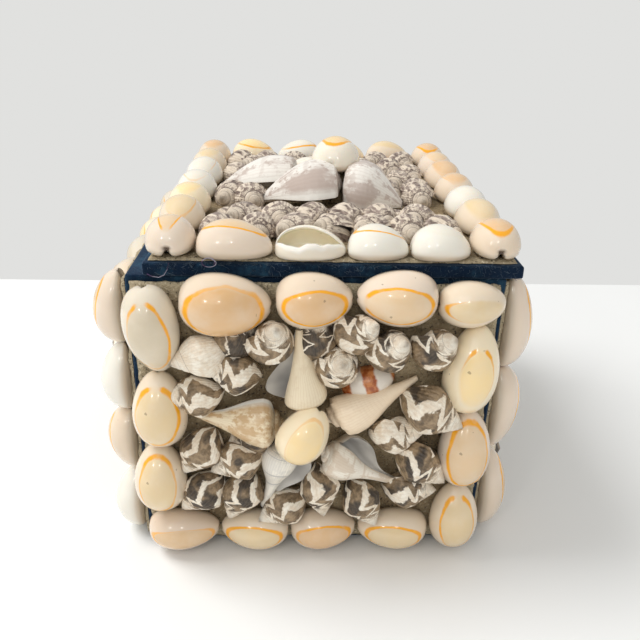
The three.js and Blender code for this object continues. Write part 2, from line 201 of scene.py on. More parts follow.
velvet, brush, shader, where = surface("navy_velvet", 0.92, Sheen_Weight=0.5, Sheen_Roughness=0.45)
shader["Sheen Tint"].default_value = (0.30, 0.42, 0.62, 1.0)
shader["Specular IOR Level"].default_value = 0.15
nap = brush.group(grain_tree, Where=where, Coarse=420.0, Fine=2600.0, Height=0.00018)
lint = brush.step(brush.grain(where, 4200.0, 1.0), 0.66, 0.78)
worn = brush.step(brush.grain(where, 160.0, 4.0, 0.65), 0.42, 0.72)
deep = brush.mix(worn, (0.002, 0.011, 0.030), (0.016, 0.055, 0.095))
brush.paint(shader, brush.times(lint, 0.35), deep, (0.24, 0.28, 0.33))
brush.feed(shader["Normal"], nap["Normal"])


def wrapped_board(name, low, high, wall=0.0, floor=0.0):
    """A board wrapped in velvet. With a wall it is hollowed from above, down to its floor."""
    form = bmesh.new()
    size = Vector(high) - Vector(low)
    middle = (Vector(high) + Vector(low)) / 2
    bmesh.ops.create_cube(form, size=1.0, matrix=Matrix.Translation(middle) @ Matrix.Diagonal((*size, 1.0)))
    if wall:
        form.faces.ensure_lookup_table()
        lid = max(form.faces, key=lambda face: face.calc_center_median().z)
        bmesh.ops.inset_region(form, faces=[lid], thickness=wall)
        hollow = bmesh.ops.extrude_face_region(form, geom=[lid])["geom"]
        sunk = [part for part in hollow if isinstance(part, bmesh.types.BMVert)]
        bmesh.ops.delete(form, geom=[lid], context="FACES_ONLY")
        bmesh.ops.translate(form, verts=sunk, vec=(0, 0, floor - size.z))
    edges = [edge for edge in form.edges if edge.calc_face_angle(0.0) > 0.5]
    bmesh.ops.bevel(form, geom=edges, offset=velvet_edge, segments=3, affect="EDGES", profile=0.6)
    long_edges = [edge for edge in form.edges if edge.calc_length() > 8.0]
    bmesh.ops.subdivide_edges(form, edges=long_edges, cuts=15, use_grid_fill=True)
    for corner in form.verts:
        pull = noise.noise_vector(corner.co * 0.22) * 0.16
        corner.co += pull
    for corner in form.verts:
        corner.co *= mm
    for face in form.faces:
        face.smooth = True
    mesh = bpy.data.meshes.new(name)
    bmesh.ops.recalc_face_normals(form, faces=form.faces)
    form.to_mesh(mesh)
    form.free()
    return mesh


half_box = (box_width / 2, box_depth / 2)
body_mesh = wrapped_board(
    "velvet_box", (-half_box[0], -half_box[1], 0.0), (*half_box, box_height), wall_thick, floor_thick
)
placed("velvet_box", body_mesh, velvet, Matrix.Identity(4), ["box_body"])

# Lid. A flat board wrapped in the same velvet, with no hinge. It lies on the rim, pushed a little
# to the right and to the front, and a little short of the box.
lid_short = 1.0
lid_thick = 3.25
lid_shift_right = 4.25
lid_shift_front = 1.5
velvet_pile = 0.3

lid_half_u = (box_width - lid_short) / 2
lid_half_v = (box_depth - lid_short) / 2
lid_place = Matrix.Translation((lid_shift_right * mm, -lid_shift_front * mm, (box_height + velvet_pile) * mm))
lid_mesh = wrapped_board("velvet_lid", (-lid_half_u, -lid_half_v, 0.0), (lid_half_u, lid_half_v, lid_thick))
placed("velvet_lid", lid_mesh, velvet, lid_place, ["lid_board"])

# Beds. Each face carries a thin coat of tan, gritty putty that was pressed on by hand. It squeezes up
# between the shells, and its ragged edge leaves a strip of velvet bare.
bare_velvet = 1.25
bed_thick = 1.25
lid_bed_thick = 0.75
putty_step = 1.1
putty_lumps = ((0.42, 0.16), (0.30, 0.55), (0.22, 1.7))

putty, brush, shader, where = surface("gritty_putty", 0.88)
shader["Specular IOR Level"].default_value = 0.25
grit = brush.group(grain_tree, Where=where, Coarse=700.0, Fine=2400.0, Height=0.0009)
patch = brush.step(brush.grain(where, 90.0, 4.0, 0.6), 0.36, 0.66)
sand = brush.step(brush.grain(where, 1500.0, 2.0), 0.55, 0.72)
speck = brush.step(brush.grain(where, 1150.0, 1.0), 0.64, 0.72)
tan = brush.mix(patch, (0.24, 0.175, 0.10), (0.44, 0.345, 0.215))
sandy = brush.mix(brush.times(sand, 0.5), tan, (0.62, 0.525, 0.375))
dust = brush.scaled(brush.grain(where, 330.0, 4.0, 0.65), 1.1, brush.read("pale", "Fac"))
dust = brush.step(dust, 0.95, 1.35)
dusty = brush.mix(dust, sandy, brush.mix(sand, (0.43, 0.355, 0.235), (0.64, 0.555, 0.40)))
chips = brush.step(brush.grain(where, 420.0, 3.0, 0.7), 0.62, 0.68)
dusty = brush.mix(brush.times(chips, 0.6), dusty, (0.12, 0.095, 0.07))
brush.paint(shader, brush.times(speck, 0.75), dusty, (0.035, 0.03, 0.03))
brush.feed(shader["Normal"], grit["Normal"])


def mesh_of(name, points, faces, attributes=None):
    """A smooth mesh from points in millimetres, with values at them. A tuple is the same at every point."""
    mesh = bpy.data.meshes.new(name)
    mesh.from_pydata((np.asarray(points) * mm).tolist(), [], faces)
    mesh.validate()
    mesh.shade_smooth()
    for key, values in (attributes or {}).items():
        if isinstance(values, tuple):
            values = np.tile(values, (len(points), 1))
        values = np.asarray(values, np.float32)
        if values.ndim == 1:
            values = np.repeat(values[:, None], 3, 1)
        wide = values.shape[1] == 4
        layer = mesh.attributes.new(key, "FLOAT_COLOR" if wide else "FLOAT_VECTOR", "POINT")
        layer.data.foreach_set("color" if wide else "vector", values.ravel())
    return mesh


def putty_bed(name, left, right, low, high, thick, place, node, roll):
    """A lumpy coat over one face: its top is a grid, and its ragged edge turns down to the velvet."""
    across = int((right - left) / putty_step)
    up = int((high - low) / putty_step)
    u, v = np.meshgrid(np.linspace(left, right, across), np.linspace(low, high, up))
    points = []
    for column, line, pu, pv in zip(
        np.tile(np.arange(across), up), np.repeat(np.arange(up), across), u.ravel(), v.ravel()
    ):
        spot = Vector((float(pu) + roll, float(pv) - roll, roll))
        lump = sum(share * noise.noise(spot * close) for share, close in putty_lumps)
        rim = min(column, line, across - 1 - column, up - 1 - line)
        ragged = 0.45 * noise.noise(spot * 0.6) + 0.1 if rim == 0 else 0.0
        inward = Vector((-math.copysign(1.0, pu), math.copysign(1.0, (low + high) / 2 - pv)))
        on_side = column in (0, across - 1)
        on_end = line in (0, up - 1)
        height = thick + lump - 0.12 - (0.45 if rim == 0 else 0.0)
        points.append((pu + inward.x * ragged * on_side, pv + inward.y * ragged * on_end, max(0.15, height)))
    faces = []
    for line in range(up - 1):
        for column in range(across - 1):
            at = line * across + column
            faces.append((at, at + 1, at + across + 1, at + across))
    edge = list(range(across))
    edge += [line * across + across - 1 for line in range(1, up)]
    edge += [(up - 1) * across + column for column in range(across - 2, -1, -1)]
    edge += [line * across for line in range(up - 2, 0, -1)]
    start = len(points)
    points += [(points[at][0] * 1.002, points[at][1], 0.02) for at in edge]
    for index, at in enumerate(edge):
        after = (index + 1) % len(edge)
        faces.append((edge[after], at, start + index, start + after))
    middle = ((left + right) / 2, (low + high) / 2)
    inset_u, inset_v = (
        half - np.abs(np.array(points)[:, axis] - middle[axis])
        for axis, half in ((0, right - middle[0]), (1, high - middle[1]))
    )
    pale = np.clip(1.0 - (np.minimum(inset_u, inset_v) - 1.0) / 6.0, 0.0, 1.0)
    mesh = mesh_of(name, points, faces, {"pale": pale})
    placed(name, mesh, putty, place, [node])


def heading_of(degrees):
    """Cosine and sine of a heading in degrees."""
    return math.cos(math.radians(degrees)), math.sin(math.radians(degrees))


def wall_place(spin, reach):
    """A wall seen from outside: U runs to its right, V up from the ground and the third axis out."""
    cos, sin = heading_of(spin)
    across = Vector((cos, sin, 0.0))
    out = Vector((sin, -cos, 0.0))
    place = Matrix.Identity(4)
    place.col[0][:3] = across
    place.col[1][:3] = (0.0, 0.0, 1.0)
    place.col[2][:3] = out
    place.col[3][:3] = out * (reach + velvet_pile) * mm
    return place


front_place = wall_place(0.0, box_depth / 2)
back_place = wall_place(180.0, box_depth / 2)
left_place = wall_place(-90.0, box_width / 2)
right_place = wall_place(90.0, box_width / 2)
top_place = lid_place @ Matrix.Translation((0, 0, (lid_thick + velvet_pile) * mm))

for side, place, width in (
    ("front", front_place, box_width),
    ("back", back_place, box_width),
    ("left", left_place, box_depth),
    ("right", right_place, box_depth),
):
    reach = width / 2 - bare_velvet
    rim = box_height - bare_velvet
    putty_bed(f"{side}_putty", -reach, reach, bare_velvet, rim, bed_thick, place, f"{side}_bed", width)
reach_u = lid_half_u - bare_velvet
reach_v = lid_half_v - bare_velvet
putty_bed("lid_putty", -reach_u, reach_u, -reach_v, reach_v, lid_bed_thick, top_place, "lid_bed", 7.0)

# Lint and threads. Fine pale fibres of the velvet and a few loose threads stand out along the front of the
# lid and of the rim, where the cloth was cut and turned.
chance = np.random.default_rng(11)
fibre_count = 420
fibre_thick = 0.045
fibre_steps = (0.0, 0.35, 0.7, 1.0)
thread_thick = 0.11
fibre, brush, shader, where = surface("velvet_fibre", 0.9)
tint = brush.step(brush.grain(where, 900.0), 0.35, 0.65)
brush.paint(shader, tint, (0.010, 0.030, 0.060), (0.085, 0.12, 0.16))
thread, brush, shader, where = surface("loose_thread", 0.8)
tint = brush.step(brush.grain(where, 300.0), 0.45, 0.55)
brush.paint(shader, tint, (0.09, 0.045, 0.12), (0.30, 0.28, 0.36))


def tube_faces(rings, around, start=0, tips=None):
    """Faces of a tube of rings of points, from the point start on. Two tips close its ends."""
    faces = []
    last = start + (rings - 1) * around
    for side in range(around):
        after = (side + 1) % around
        for low in range(start, last, around):
            faces.append((low + side, low + after, low + around + after, low + around + side))
        if tips:
            faces += [(tips[0], start + after, start + side), (tips[1], last + side, last + after)]
    return faces


def joined(parts):
    """Points and faces of several meshes as one mesh."""
    points, faces, start = [], [], 0
    for part in parts:
        points.append(part[0])
        faces += [tuple(corner + start for corner in face) for face in part[1]]
        start += len(part[0])
    return np.concatenate(points), faces


def strand(route, thick):
    """A thin three-sided thread along a route of points."""
    route = np.asarray(route, float)
    onward = np.gradient(route, axis=0)
    onward /= np.linalg.norm(onward, axis=1)[:, None]
    beside = np.cross(onward, (0.31, 0.22, 0.92))
    beside /= np.linalg.norm(beside, axis=1)[:, None]
    above = np.cross(onward, beside)
    points = np.concatenate([
        [spot + thick * (math.cos(turn) * one + math.sin(turn) * two) for turn in (0.0, 2.09, 4.19)]
        for spot, one, two in zip(route, beside, above)
    ])
    caps = [(0, 2, 1), tuple(len(points) - 3 + side for side in range(3))]
    return points, caps + tube_faces(len(route), 3)


def strands(name, routes, thick, material):
    """Threads joined into one piece of the lid's or the box's velvet."""
    mesh = mesh_of(name, *joined([strand(route, thick) for route in routes]))
    placed(name, mesh, material, Matrix.Identity(4), ["lid_board"])


lid_front = -box_depth / 2 + lid_short / 2 - lid_shift_front
lid_low = box_height + velvet_pile
fibres = []
for _ in range(fibre_count):
    x = chance.uniform(lid_shift_right - lid_half_u + 1.0, lid_shift_right + lid_half_u - 1.0)
    z = lid_low + lid_thick * chance.choice([0.05, 0.5, 0.95, 1.0]) + chance.uniform(-0.1, 0.1)
    out = chance.normal(0.0, 1.0, 3) * (1.0, 0.35, 0.6) + (0.0, -0.5, 0.1)
    out *= chance.uniform(0.5, 1.7) / np.linalg.norm(out)
    bend = chance.normal(0.0, 0.35, 3)
    fibres.append([(x, lid_front + 0.1, z) + out * step + bend * step * step for step in fibre_steps])
strands("velvet_fuzz", fibres, fibre_thick, fibre)
turn = np.linspace(-0.6, 7.4, 30)
curl_x = -26.3 + 1.4 * np.cos(turn) * (1.0 + 0.05 * turn)
curl = np.stack([curl_x, lid_front - 0.9 - 0.12 * turn, 86.9 + 1.1 * np.sin(turn)], 1)
trailing = [(-36.1, lid_front - 0.2, 86.3), (-36.4, lid_front - 0.8, 84.9), (-37.2, lid_front - 1.0, 83.5),
            (-38.6, lid_front - 0.9, 82.8), (-40.3, lid_front - 0.7, 83.0), (-41.5, lid_front - 0.4, 83.5)]
strands("loose_threads", [curl, trailing], thread_thick, thread)

# Cowries. Each is a whole ring cowrie, a domed glossy shell as smooth as porcelain, glued on its mouth.
# A gold ring parts its peach or cream back from its paler margin, broken or worn off on many of them.
clearance = 0.3
front_cowrie_width = 14.2
lid_cowrie_width = 12.4
side_cowrie_width = 12.4
front_top_rise = 2.0
foot_gap = 1.2
gold = (0.90, 0.395, 0.006)

ring_tree, brush, given, result = shader_group(
    "Gold Ring",
    {"Lay": "Vector", "Marks": "Color", "Marks Side": "Float", "Form": "Vector", "Where": "Vector"},
    {"Line": "Float", "Inside": "Float"},
)
lay = brush.parts(given["Lay"])
form = brush.parts(given["Form"])
marks = brush.node("ShaderNodeSeparateColor", {"Color": given["Marks"]}).outputs
waver = brush.scaled(brush.grain(given["Where"], 190.0, 2.0), 0.16, -0.08)
along = brush.math("DIVIDE", lay[0], form[0])
across = brush.math("DIVIDE", lay[1], form[1])
reach = brush.math("POWER", brush.math("ABSOLUTE", across), 2.15)
reach = brush.math("ADD", brush.math("POWER", brush.math("ABSOLUTE", along), 1.75), reach)
reach = brush.math("ADD", brush.math("SQRT", reach), waver)
radius = brush.math("SQRT", brush.scaled(along, along, brush.times(across, across)))
radius = brush.math("MAXIMUM", radius, 0.05)
heading = brush.math("DIVIDE", along, radius)
sideways = brush.math("DIVIDE", across, radius)
strength = 0.0
for facing, sign, mark in (
    (heading, 1.0, marks[0]),
    (sideways, 1.0, marks[1]),
    (heading, -1.0, marks[2]),
    (sideways, -1.0, given["Marks Side"]),
):
    part = brush.math("MAXIMUM", brush.times(facing, sign), 0.0)
    strength = brush.scaled(brush.times(part, part), mark, strength)
open_end = brush.math("SIGN", form[2])
gap = brush.step(brush.times(heading, open_end), brush.rest(brush.math("ABSOLUTE", form[2])), 1.0)
strength = brush.times(strength, brush.rest(brush.times(gap, brush.math("ABSOLUTE", open_end))))
blotch = brush.scaled(brush.grain(given["Where"], 260.0, 3.0, 0.6), 1.5, 0.15)
strength = brush.times(strength, blotch, clamp=True)
half_line = brush.scaled(strength, 0.072, 0.040)
off_line = brush.math("ABSOLUTE", brush.math("SUBTRACT", reach, 1.0))
line = brush.rest(brush.step(off_line, brush.times(half_line, 0.35), half_line))
upper = brush.step(lay[2], 0.30, 0.42)
shown_line = brush.times(strength, 1.5, clamp=True)
brush.feed(result["Line"], brush.times(brush.times(line, upper), shown_line))
inside = brush.rest(brush.step(reach, 0.86, 1.12))
brush.feed(result["Inside"], brush.times(inside, upper))

porcelain, brush, shader, where = surface("cowrie_porcelain", 0.2, Coat_Weight=0.6, Coat_Roughness=0.1)
shader["Subsurface Weight"].default_value = 0.12
shader["Subsurface Radius"].default_value = (0.0012, 0.0008, 0.0005)
shader["Subsurface Scale"].default_value = 1.0
lay = brush.read("lay")
ring = brush.group(
    ring_tree, Lay=lay, Marks=brush.read("ring_marks", "Color"), Marks_Side=brush.read("ring_marks", "Alpha"),
    Form=brush.read("ring_form"), Where=where,
)
back = brush.read("back_colour", "Color")
margin = brush.read("margin_colour", "Color")
height = brush.parts(lay)[2]
cloud = brush.step(brush.grain(where, 130.0, 3.0, 0.55), 0.30, 0.75)
back = brush.mix(brush.times(cloud, 0.35), back, (0.80, 0.70, 0.56))
# Painted shade: the margin turns a darker dull brown towards the bottom of each cowrie and under it, where it
# meets the putty.
painted_base_shade = brush.mix(brush.step(height, 0.0, 0.5), (0.62, 0.52, 0.40), margin)
coat = brush.mix(ring["Inside"], painted_base_shade, back)
coat = brush.mix(brush.times(brush.step(height, 0.7, 1.0), 0.10), coat, (0.84, 0.80, 0.74))
coat = brush.mix(ring["Line"], coat, gold)
pore = brush.times(brush.step(brush.grain(where, 700.0, 0.0), 0.86, 0.88), 0.5)
coat = brush.mix(pore, coat, (0.16, 0.10, 0.05))
# Painted shade: the slit of the mouth, the end holes and the tips are coloured dark brown for the shadow
# inside them.
painted_mouth_shade = brush.read("painted_mouth_shade", "Fac")
brush.paint(shader, painted_mouth_shade, coat, (0.05, 0.022, 0.010))
brush.bump(shader, brush.grain(where, 240.0, 2.0), 0.00010, 0.6)

over_top = np.linspace(0.0, 180.0, 21)
under_mouth = 270.0 + np.array([-72, -54, -37, -24, -15, -9, -3, 3, 9, 15, 24, 37, 54, 72.0])
cowrie_angles = np.radians(np.concatenate([over_top, under_mouth]))
cowrie_rings = 33


def cowrie_section(cos, sin, top):
    """A cowrie cut across: domed above its widest line, and flatter below it."""
    y = np.where(top, cos, np.sign(cos) * np.abs(cos) ** 0.8)
    z = np.where(top, 0.32 + 0.68 * np.abs(sin) ** 1.05, 0.32 * (1.0 - np.abs(sin) ** 0.6))
    return y, z


def cowrie_form(length, width, notch=0.5):
    """One cowrie lying on its mouth. A notch over 0.6 shows as a round hole at each end: a shallow dent,
    painted dark for the shadow inside a hole.
    """
    high = 0.72 * width
    swing = np.arange(1, cowrie_rings + 1) / (cowrie_rings + 1) * math.pi
    along = -np.cos(swing)
    size = np.sin(swing) ** (0.9 + 0.12 * along) * (1.0 - 0.13 * along)
    cos, sin = np.cos(cowrie_angles), np.sin(cowrie_angles)
    top = sin >= -1e-6
    y_unit, z_unit = cowrie_section(cos, sin, top)
    y = np.outer(size, y_unit) * width / 2
    lift = 0.20 * high * np.clip(1.0 - size, 0.0, 1.0) ** 1.5
    z = np.outer(size, z_unit) * high + lift[:, None]
    x = np.repeat(along[:, None] * length / 2, len(cos), 1)
    end = np.clip((np.abs(along) - 0.80) / 0.2, 0.0, 1.0)[:, None] ** 1.5
    foot = np.exp(-((z / (0.26 * high)) ** 2))
    slit = np.exp(-((y / 0.6) ** 2)) * foot
    hole = np.exp(-((y / 0.85) ** 4) - ((z - 2.1) / 0.95) ** 4) * (np.abs(along) > 0.5)[:, None]
    x -= np.sign(x) * np.where(notch > 0.6, 0.9 * hole, notch * slit * end * 1.8)
    under = np.repeat((~top)[None, :], cowrie_rings, 0)
    groove = np.minimum(2.3, 0.5 * size[:, None] * high) * np.exp(-((y / 0.8) ** 2))
    z = np.where(under, z + groove, z)
    # Painted shade: the slit along the mouth and the dent of each end hole are marked dark, for the shadow
    # inside them; the two tip points get most of it too.
    slit_and_hole_shade = np.where(under, np.exp(-((y / 0.75) ** 2)), hole * (notch > 0.6))
    tips = [(-length / 2 + 1.7 * notch, 0.0, 0.19 * high), (length / 2 - 1.7 * notch, 0.0, 0.19 * high)]
    points = np.concatenate([[tips[0]], np.stack([x, y, z], 2).reshape(-1, 3), [tips[1]]])
    lay_along = np.repeat(along[:, None], len(cos), 1)
    lay_up = np.repeat(np.where(top, z_unit, 0.0)[None, :], cowrie_rings, 0)
    lay = np.stack([lay_along, y / (width / 2), lay_up], 2).reshape(-1, 3)
    lay = np.concatenate([[(-1, 0, 0)], lay, [(1, 0, 0)]])
    painted_mouth_shade = np.concatenate([[0.7], slit_and_hole_shade.ravel(), [0.7]])
    return points, tube_faces(cowrie_rings, len(cos), 1, (0, len(points) - 1)), lay, painted_mouth_shade


def placing(u, v, out, turn, lean=0.0, roll=0.0):
    """Leans a shape out of its face, turns it, and sets it at u, v and a height out of the face."""
    spin = Matrix.Rotation(math.radians(turn), 4, "Z") @ Matrix.Rotation(-math.radians(lean), 4, "Y")
    spin = spin @ Matrix.Rotation(math.radians(roll), 4, "X")
    return Matrix.Translation((u * mm, v * mm, out * mm)) @ spin


def row(start, end, at, shells, width, upright=False):
    """Lays cowries end to end along a run: each one's share of it, its width in shares, and its turn."""
    total = sum(shell[0] for shell in shells)
    free = end - start - clearance * (len(shells) - 1)
    spots = []
    for share, wide, turn in shells:
        length = free * share / total
        middle = start + length / 2
        start += length + clearance
        u, v = (at, middle) if upright else (middle, at)
        spot = {"u": u, "v": v, "turn": 90.0 * upright + turn}
        spots.append({**spot, "length": length, "width": width * wide})
    return spots


def alike(count):
    """Cowries of one size, every third one turned round."""
    return [(1.0, 1.0, 180.0 * (index % 3 == 1)) for index in range(count)]


def wobble(index, kind):
    """A steady wobble between -1 and 1."""
    return math.sin(12.9898 * index + 78.233 * kind)


tones = {
    "peach": ((0.73, 0.44, 0.19), (0.77, 0.63, 0.48)),
    "tan": ((0.70, 0.45, 0.21), (0.73, 0.58, 0.44)),
    "rose": ((0.77, 0.54, 0.30), (0.78, 0.65, 0.52)),
    "cream": ((0.77, 0.58, 0.31), (0.79, 0.66, 0.50)),
    "butter": ((0.96, 0.71, 0.33), (0.91, 0.77, 0.54)),
    "sunny": ((0.88, 0.60, 0.25), (0.87, 0.80, 0.67)),
    "grey": ((0.64, 0.54, 0.38), (0.73, 0.65, 0.52)),
    "white": ((0.83, 0.78, 0.67), (0.84, 0.80, 0.71)),
}


def shown(tone, ends=(0.0, 0.0), sides=(0.0, 0.0), long=0.79, broad=0.64, gap=0.0):
    """A cowrie's tone, and its ring: strength at its (+X, -X) ends and (+Y, -Y) sides, reach and gap."""
    return {"tone": tone, "marks": (ends[0], sides[0], ends[1], sides[1]), "form": (long, broad, gap)}


def cowrie_mesh(name, spot, look, notch=0.5):
    """A cowrie's mesh with the values that its porcelain reads: tone, and the ring's marks and form."""
    points, faces, lay, painted_mouth_shade = cowrie_form(spot["length"], spot["width"], notch)
    back, margin = tones[look["tone"]]
    values = {
        "lay": lay,
        "painted_mouth_shade": painted_mouth_shade,
        "ring_marks": look["marks"],
        "ring_form": look["form"],
        "back_colour": (*back, 1.0),
        "margin_colour": (*margin, 1.0),
    }
    return mesh_of(name, points, faces, values)


def lay_cowrie(name, spot, out, place, node, look, notch=0.5):
    """Sets one cowrie on a face, as a piece of its own."""
    seat = place @ placing(spot["u"], spot["v"], out, spot["turn"])
    placed(name, cowrie_mesh(name, spot, look, notch), porcelain, seat, [node])


front_half = box_width / 2
column_at = front_half - front_cowrie_width / 2
column_inner = front_half - front_cowrie_width
front_bottom = foot_gap + 0.87 * front_cowrie_width / 2
front_top = box_height + front_top_rise - front_cowrie_width / 2
bottom_row_top = front_bottom + front_cowrie_width / 2
front_rows = {
    "top": row(
        -column_inner + clearance, front_half - 0.5, front_top,
        [(23.2, 1.11, -4.0), (19.6, 1.0, 0.0), (20.6, 1.0, 180.0), (17.4, 0.84, 0.0)],
        front_cowrie_width,
    ),
    "left": row(
        bottom_row_top, box_height - bare_velvet, -column_at,
        [(19.0, 1.0, 0.0), (20.0, 1.0, 0.0), (21.5, 0.96, 188.0)],
        front_cowrie_width, upright=True,
    ),
    "right": row(
        foot_gap, front_top - 0.84 * front_cowrie_width / 2, column_at,
        [(18.6, 0.96, 0.0), (21.0, 1.0, 0.0), (22.4, 1.0, -5.0)],
        front_cowrie_width, upright=True,
    ),
    "bottom": row(
        -front_half + 1.0, column_inner - clearance, front_bottom,
        [(20.0, 1.0, 0.0), (19.4, 1.0, 180.0), (18.8, 1.0, 0.0), (20.2, 1.0, 180.0)],
        0.87 * front_cowrie_width,
    ),
}
# What each front cowrie shows.
front_looks = {
    "top": [
        shown("peach", (0.75, 1.0), (0.3, 0.35), long=0.80, broad=0.82),
        shown("peach", (1.0, 0.9), (1.0, 0.8), long=0.78, broad=0.62),
        shown("rose", (0.75, 0.8), (0.6, 0.7), gap=0.10),
        shown("cream", (0.0, 0.7), (0.0, 0.0), long=0.84, broad=0.5),
    ],
    "left": [
        shown("cream", (0.8, 0.6), (0.55, 0.35), long=0.8, broad=0.68),
        shown("cream", (1.0, 0.4), (0.4, 1.0), gap=0.07, long=0.72, broad=0.78),
        shown("grey", (0.4, 0.7), (0.8, 0.2), long=0.78, broad=0.7, gap=-0.06),
    ],
    "right": [
        shown("cream", (1.0, 0.4), (0.7, 0.45), gap=0.05, long=0.78, broad=0.68),
        shown("rose", (0.9, 0.8), (1.0, 0.6), long=0.82, broad=0.74),
        shown("butter", (1.0, 0.0), (0.0, 0.25), gap=0.07, long=0.60, broad=0.6),
    ],
    "bottom": [
        shown("tan", (0.6, 0.7), (0.15, 0.0), long=0.84, broad=0.5),
        shown("cream", (0.9, 0.9), (0.3, 1.0), long=0.78, broad=0.6),
        shown("peach", (0.8, 0.6), (0.8, 0.1), long=0.78, broad=0.62),
        shown("cream", (0.9, 0.9), (0.3, 1.0), long=0.74, broad=0.6),
    ],
}
# How far some of them sit from their even places, right and up.
front_nudges = {
    ("left", 1): (-1.3, 0.9),
    ("left", 2): (0.0, 0.8),
    ("left", 3): (-0.3, 0.3),
    ("right", 1): (-0.2, 0.6),
    ("right", 2): (0.3, 1.0),
    ("right", 3): (-0.4, 0.5),
    ("top", 1): (-0.8, -0.3),
    ("top", 2): (-0.3, 0.9),
    ("top", 3): (0.0, 1.6),
}
for side, spots in front_rows.items():
    for index, (spot, look) in enumerate(zip(spots, front_looks[side])):
        number = index + 1
        nudge = front_nudges.get((side, number), (0.0, 0.0))
        spot = {**spot, "u": spot["u"] + nudge[0], "v": spot["v"] + nudge[1]}
        node = f"front_cowrie_{side}_{number}"
        lay_cowrie(f"front_{side}_cowrie_{number}", spot, bed_thick, front_place, node, look)

# Lid border. Cowries lie end to end round the lid's edge. The second at the front is broken open,
# so that the hollow inside and its wavy, thick lip face the viewer.
inner_u = lid_half_u - lid_cowrie_width
inner_v = lid_half_v - lid_cowrie_width
row_u = lid_half_u - lid_cowrie_width / 2
row_v = lid_half_v - lid_cowrie_width / 2
front_row_over = 1.3
front_row_sunk = 0.6
lid_rows = {
    "front": row(
        -inner_u + clearance, inner_u - clearance, -row_v,
        [(19.8, 1.04, 0.0), (18.4, 1.0, 0.0), (16.0, 0.95, 0.0), (15.8, 0.96, 0.0)],
        lid_cowrie_width,
    ),
    "back": row(-inner_u + clearance, inner_u - clearance, row_v, alike(4), lid_cowrie_width),
    "left": row(-lid_half_v, lid_half_v, -row_u, alike(7), lid_cowrie_width, True),
    "right": row(-lid_half_v, lid_half_v, row_u, alike(7), lid_cowrie_width, True),
}
lid_looks = {
    ("front", 0): shown("rose", (0.7, 0.7), (0.9, 0.9), broad=0.5),
    ("front", 2): shown("white", (0.5, 0.7), (0.8, 0.8), broad=0.5),
    ("front", 3): shown("white"),
    ("left", 0): shown("rose", (0.3, 0.5), (1.0, 1.0), gap=-0.12, broad=0.42),
    ("left", 1): shown("cream", (0.3, 0.0), (0.4, 0.0)),
    ("left", 3): shown("white", (0.0, 0.2), (0.3, 0.0)),
    ("left", 4): shown("white", (0.0, 0.0), (0.3, 0.0)),
    ("left", 5): shown("cream", (0.3, 0.0), (0.0, 0.0)),
    ("left", 6): shown("peach", (0.2, 0.0), (0.0, 0.0)),
    ("back", 3): shown("cream"),
    ("right", 4): shown("peach", (0.2, 0.2), (0.3, 0.0)),
    ("right", 5): shown("rose", (0.0, 0.2), (0.0, 0.2)),
    ("right", 0): shown("peach", (0.6, 1.0), (1.0, 1.0), broad=0.62),
    ("right", 1): shown("cream"),
    ("right", 2): shown("white"),
    ("right", 3): shown("peach", (0.2, 0.0), (0.3, 0.0)),
}
spare_tones = ["cream", "white", "rose", "cream", "peach", "grey", "butter"]


def plain_look(index):
    """Tone and ring of a cowrie whose own look the maker left to chance."""
    strong = 0.5 + 0.5 * wobble(index, 7)
    weak = 0.5 + 0.5 * wobble(index, 8)
    bare = index % 4 == 2
    return shown(
        spare_tones[int(abs(wobble(index, 9)) * 6.99)],
        (0.0, 0.0) if bare else (strong, 0.3 + 0.7 * weak),
        (0.0, 0.0) if bare else (0.2 + 0.8 * weak, 0.2 + 0.6 * strong),
        long=0.77 + 0.05 * wobble(index, 10),
        broad=0.65 + 0.09 * wobble(index, 11),
        gap=0.06 if index % 3 == 0 else 0.0,
    )


for side, spots in lid_rows.items():
    for index, spot in enumerate(spots):
        number = index + 1
        if (side, index) == ("front", 1):
            continue
        look = lid_looks.get((side, index)) or plain_look(3 * index + len(side))
        notch = 1.0 if index == 0 and side in ("left", "right") else 0.5
        out = lid_bed_thick
        if side == "front":
            spot = {**spot, "v": spot["v"] - front_row_over}
            out -= front_row_sunk
        node = f"lid_cowrie_{side}_{number}"
        lay_cowrie(f"lid_{side}_cowrie_{number}", spot, out, top_place, node, look, notch)

broken_look = {"outside": (0.80, 0.73, 0.60), "lip": (0.88, 0.85, 0.78), "hollow": (0.95, 0.88, 0.68)}


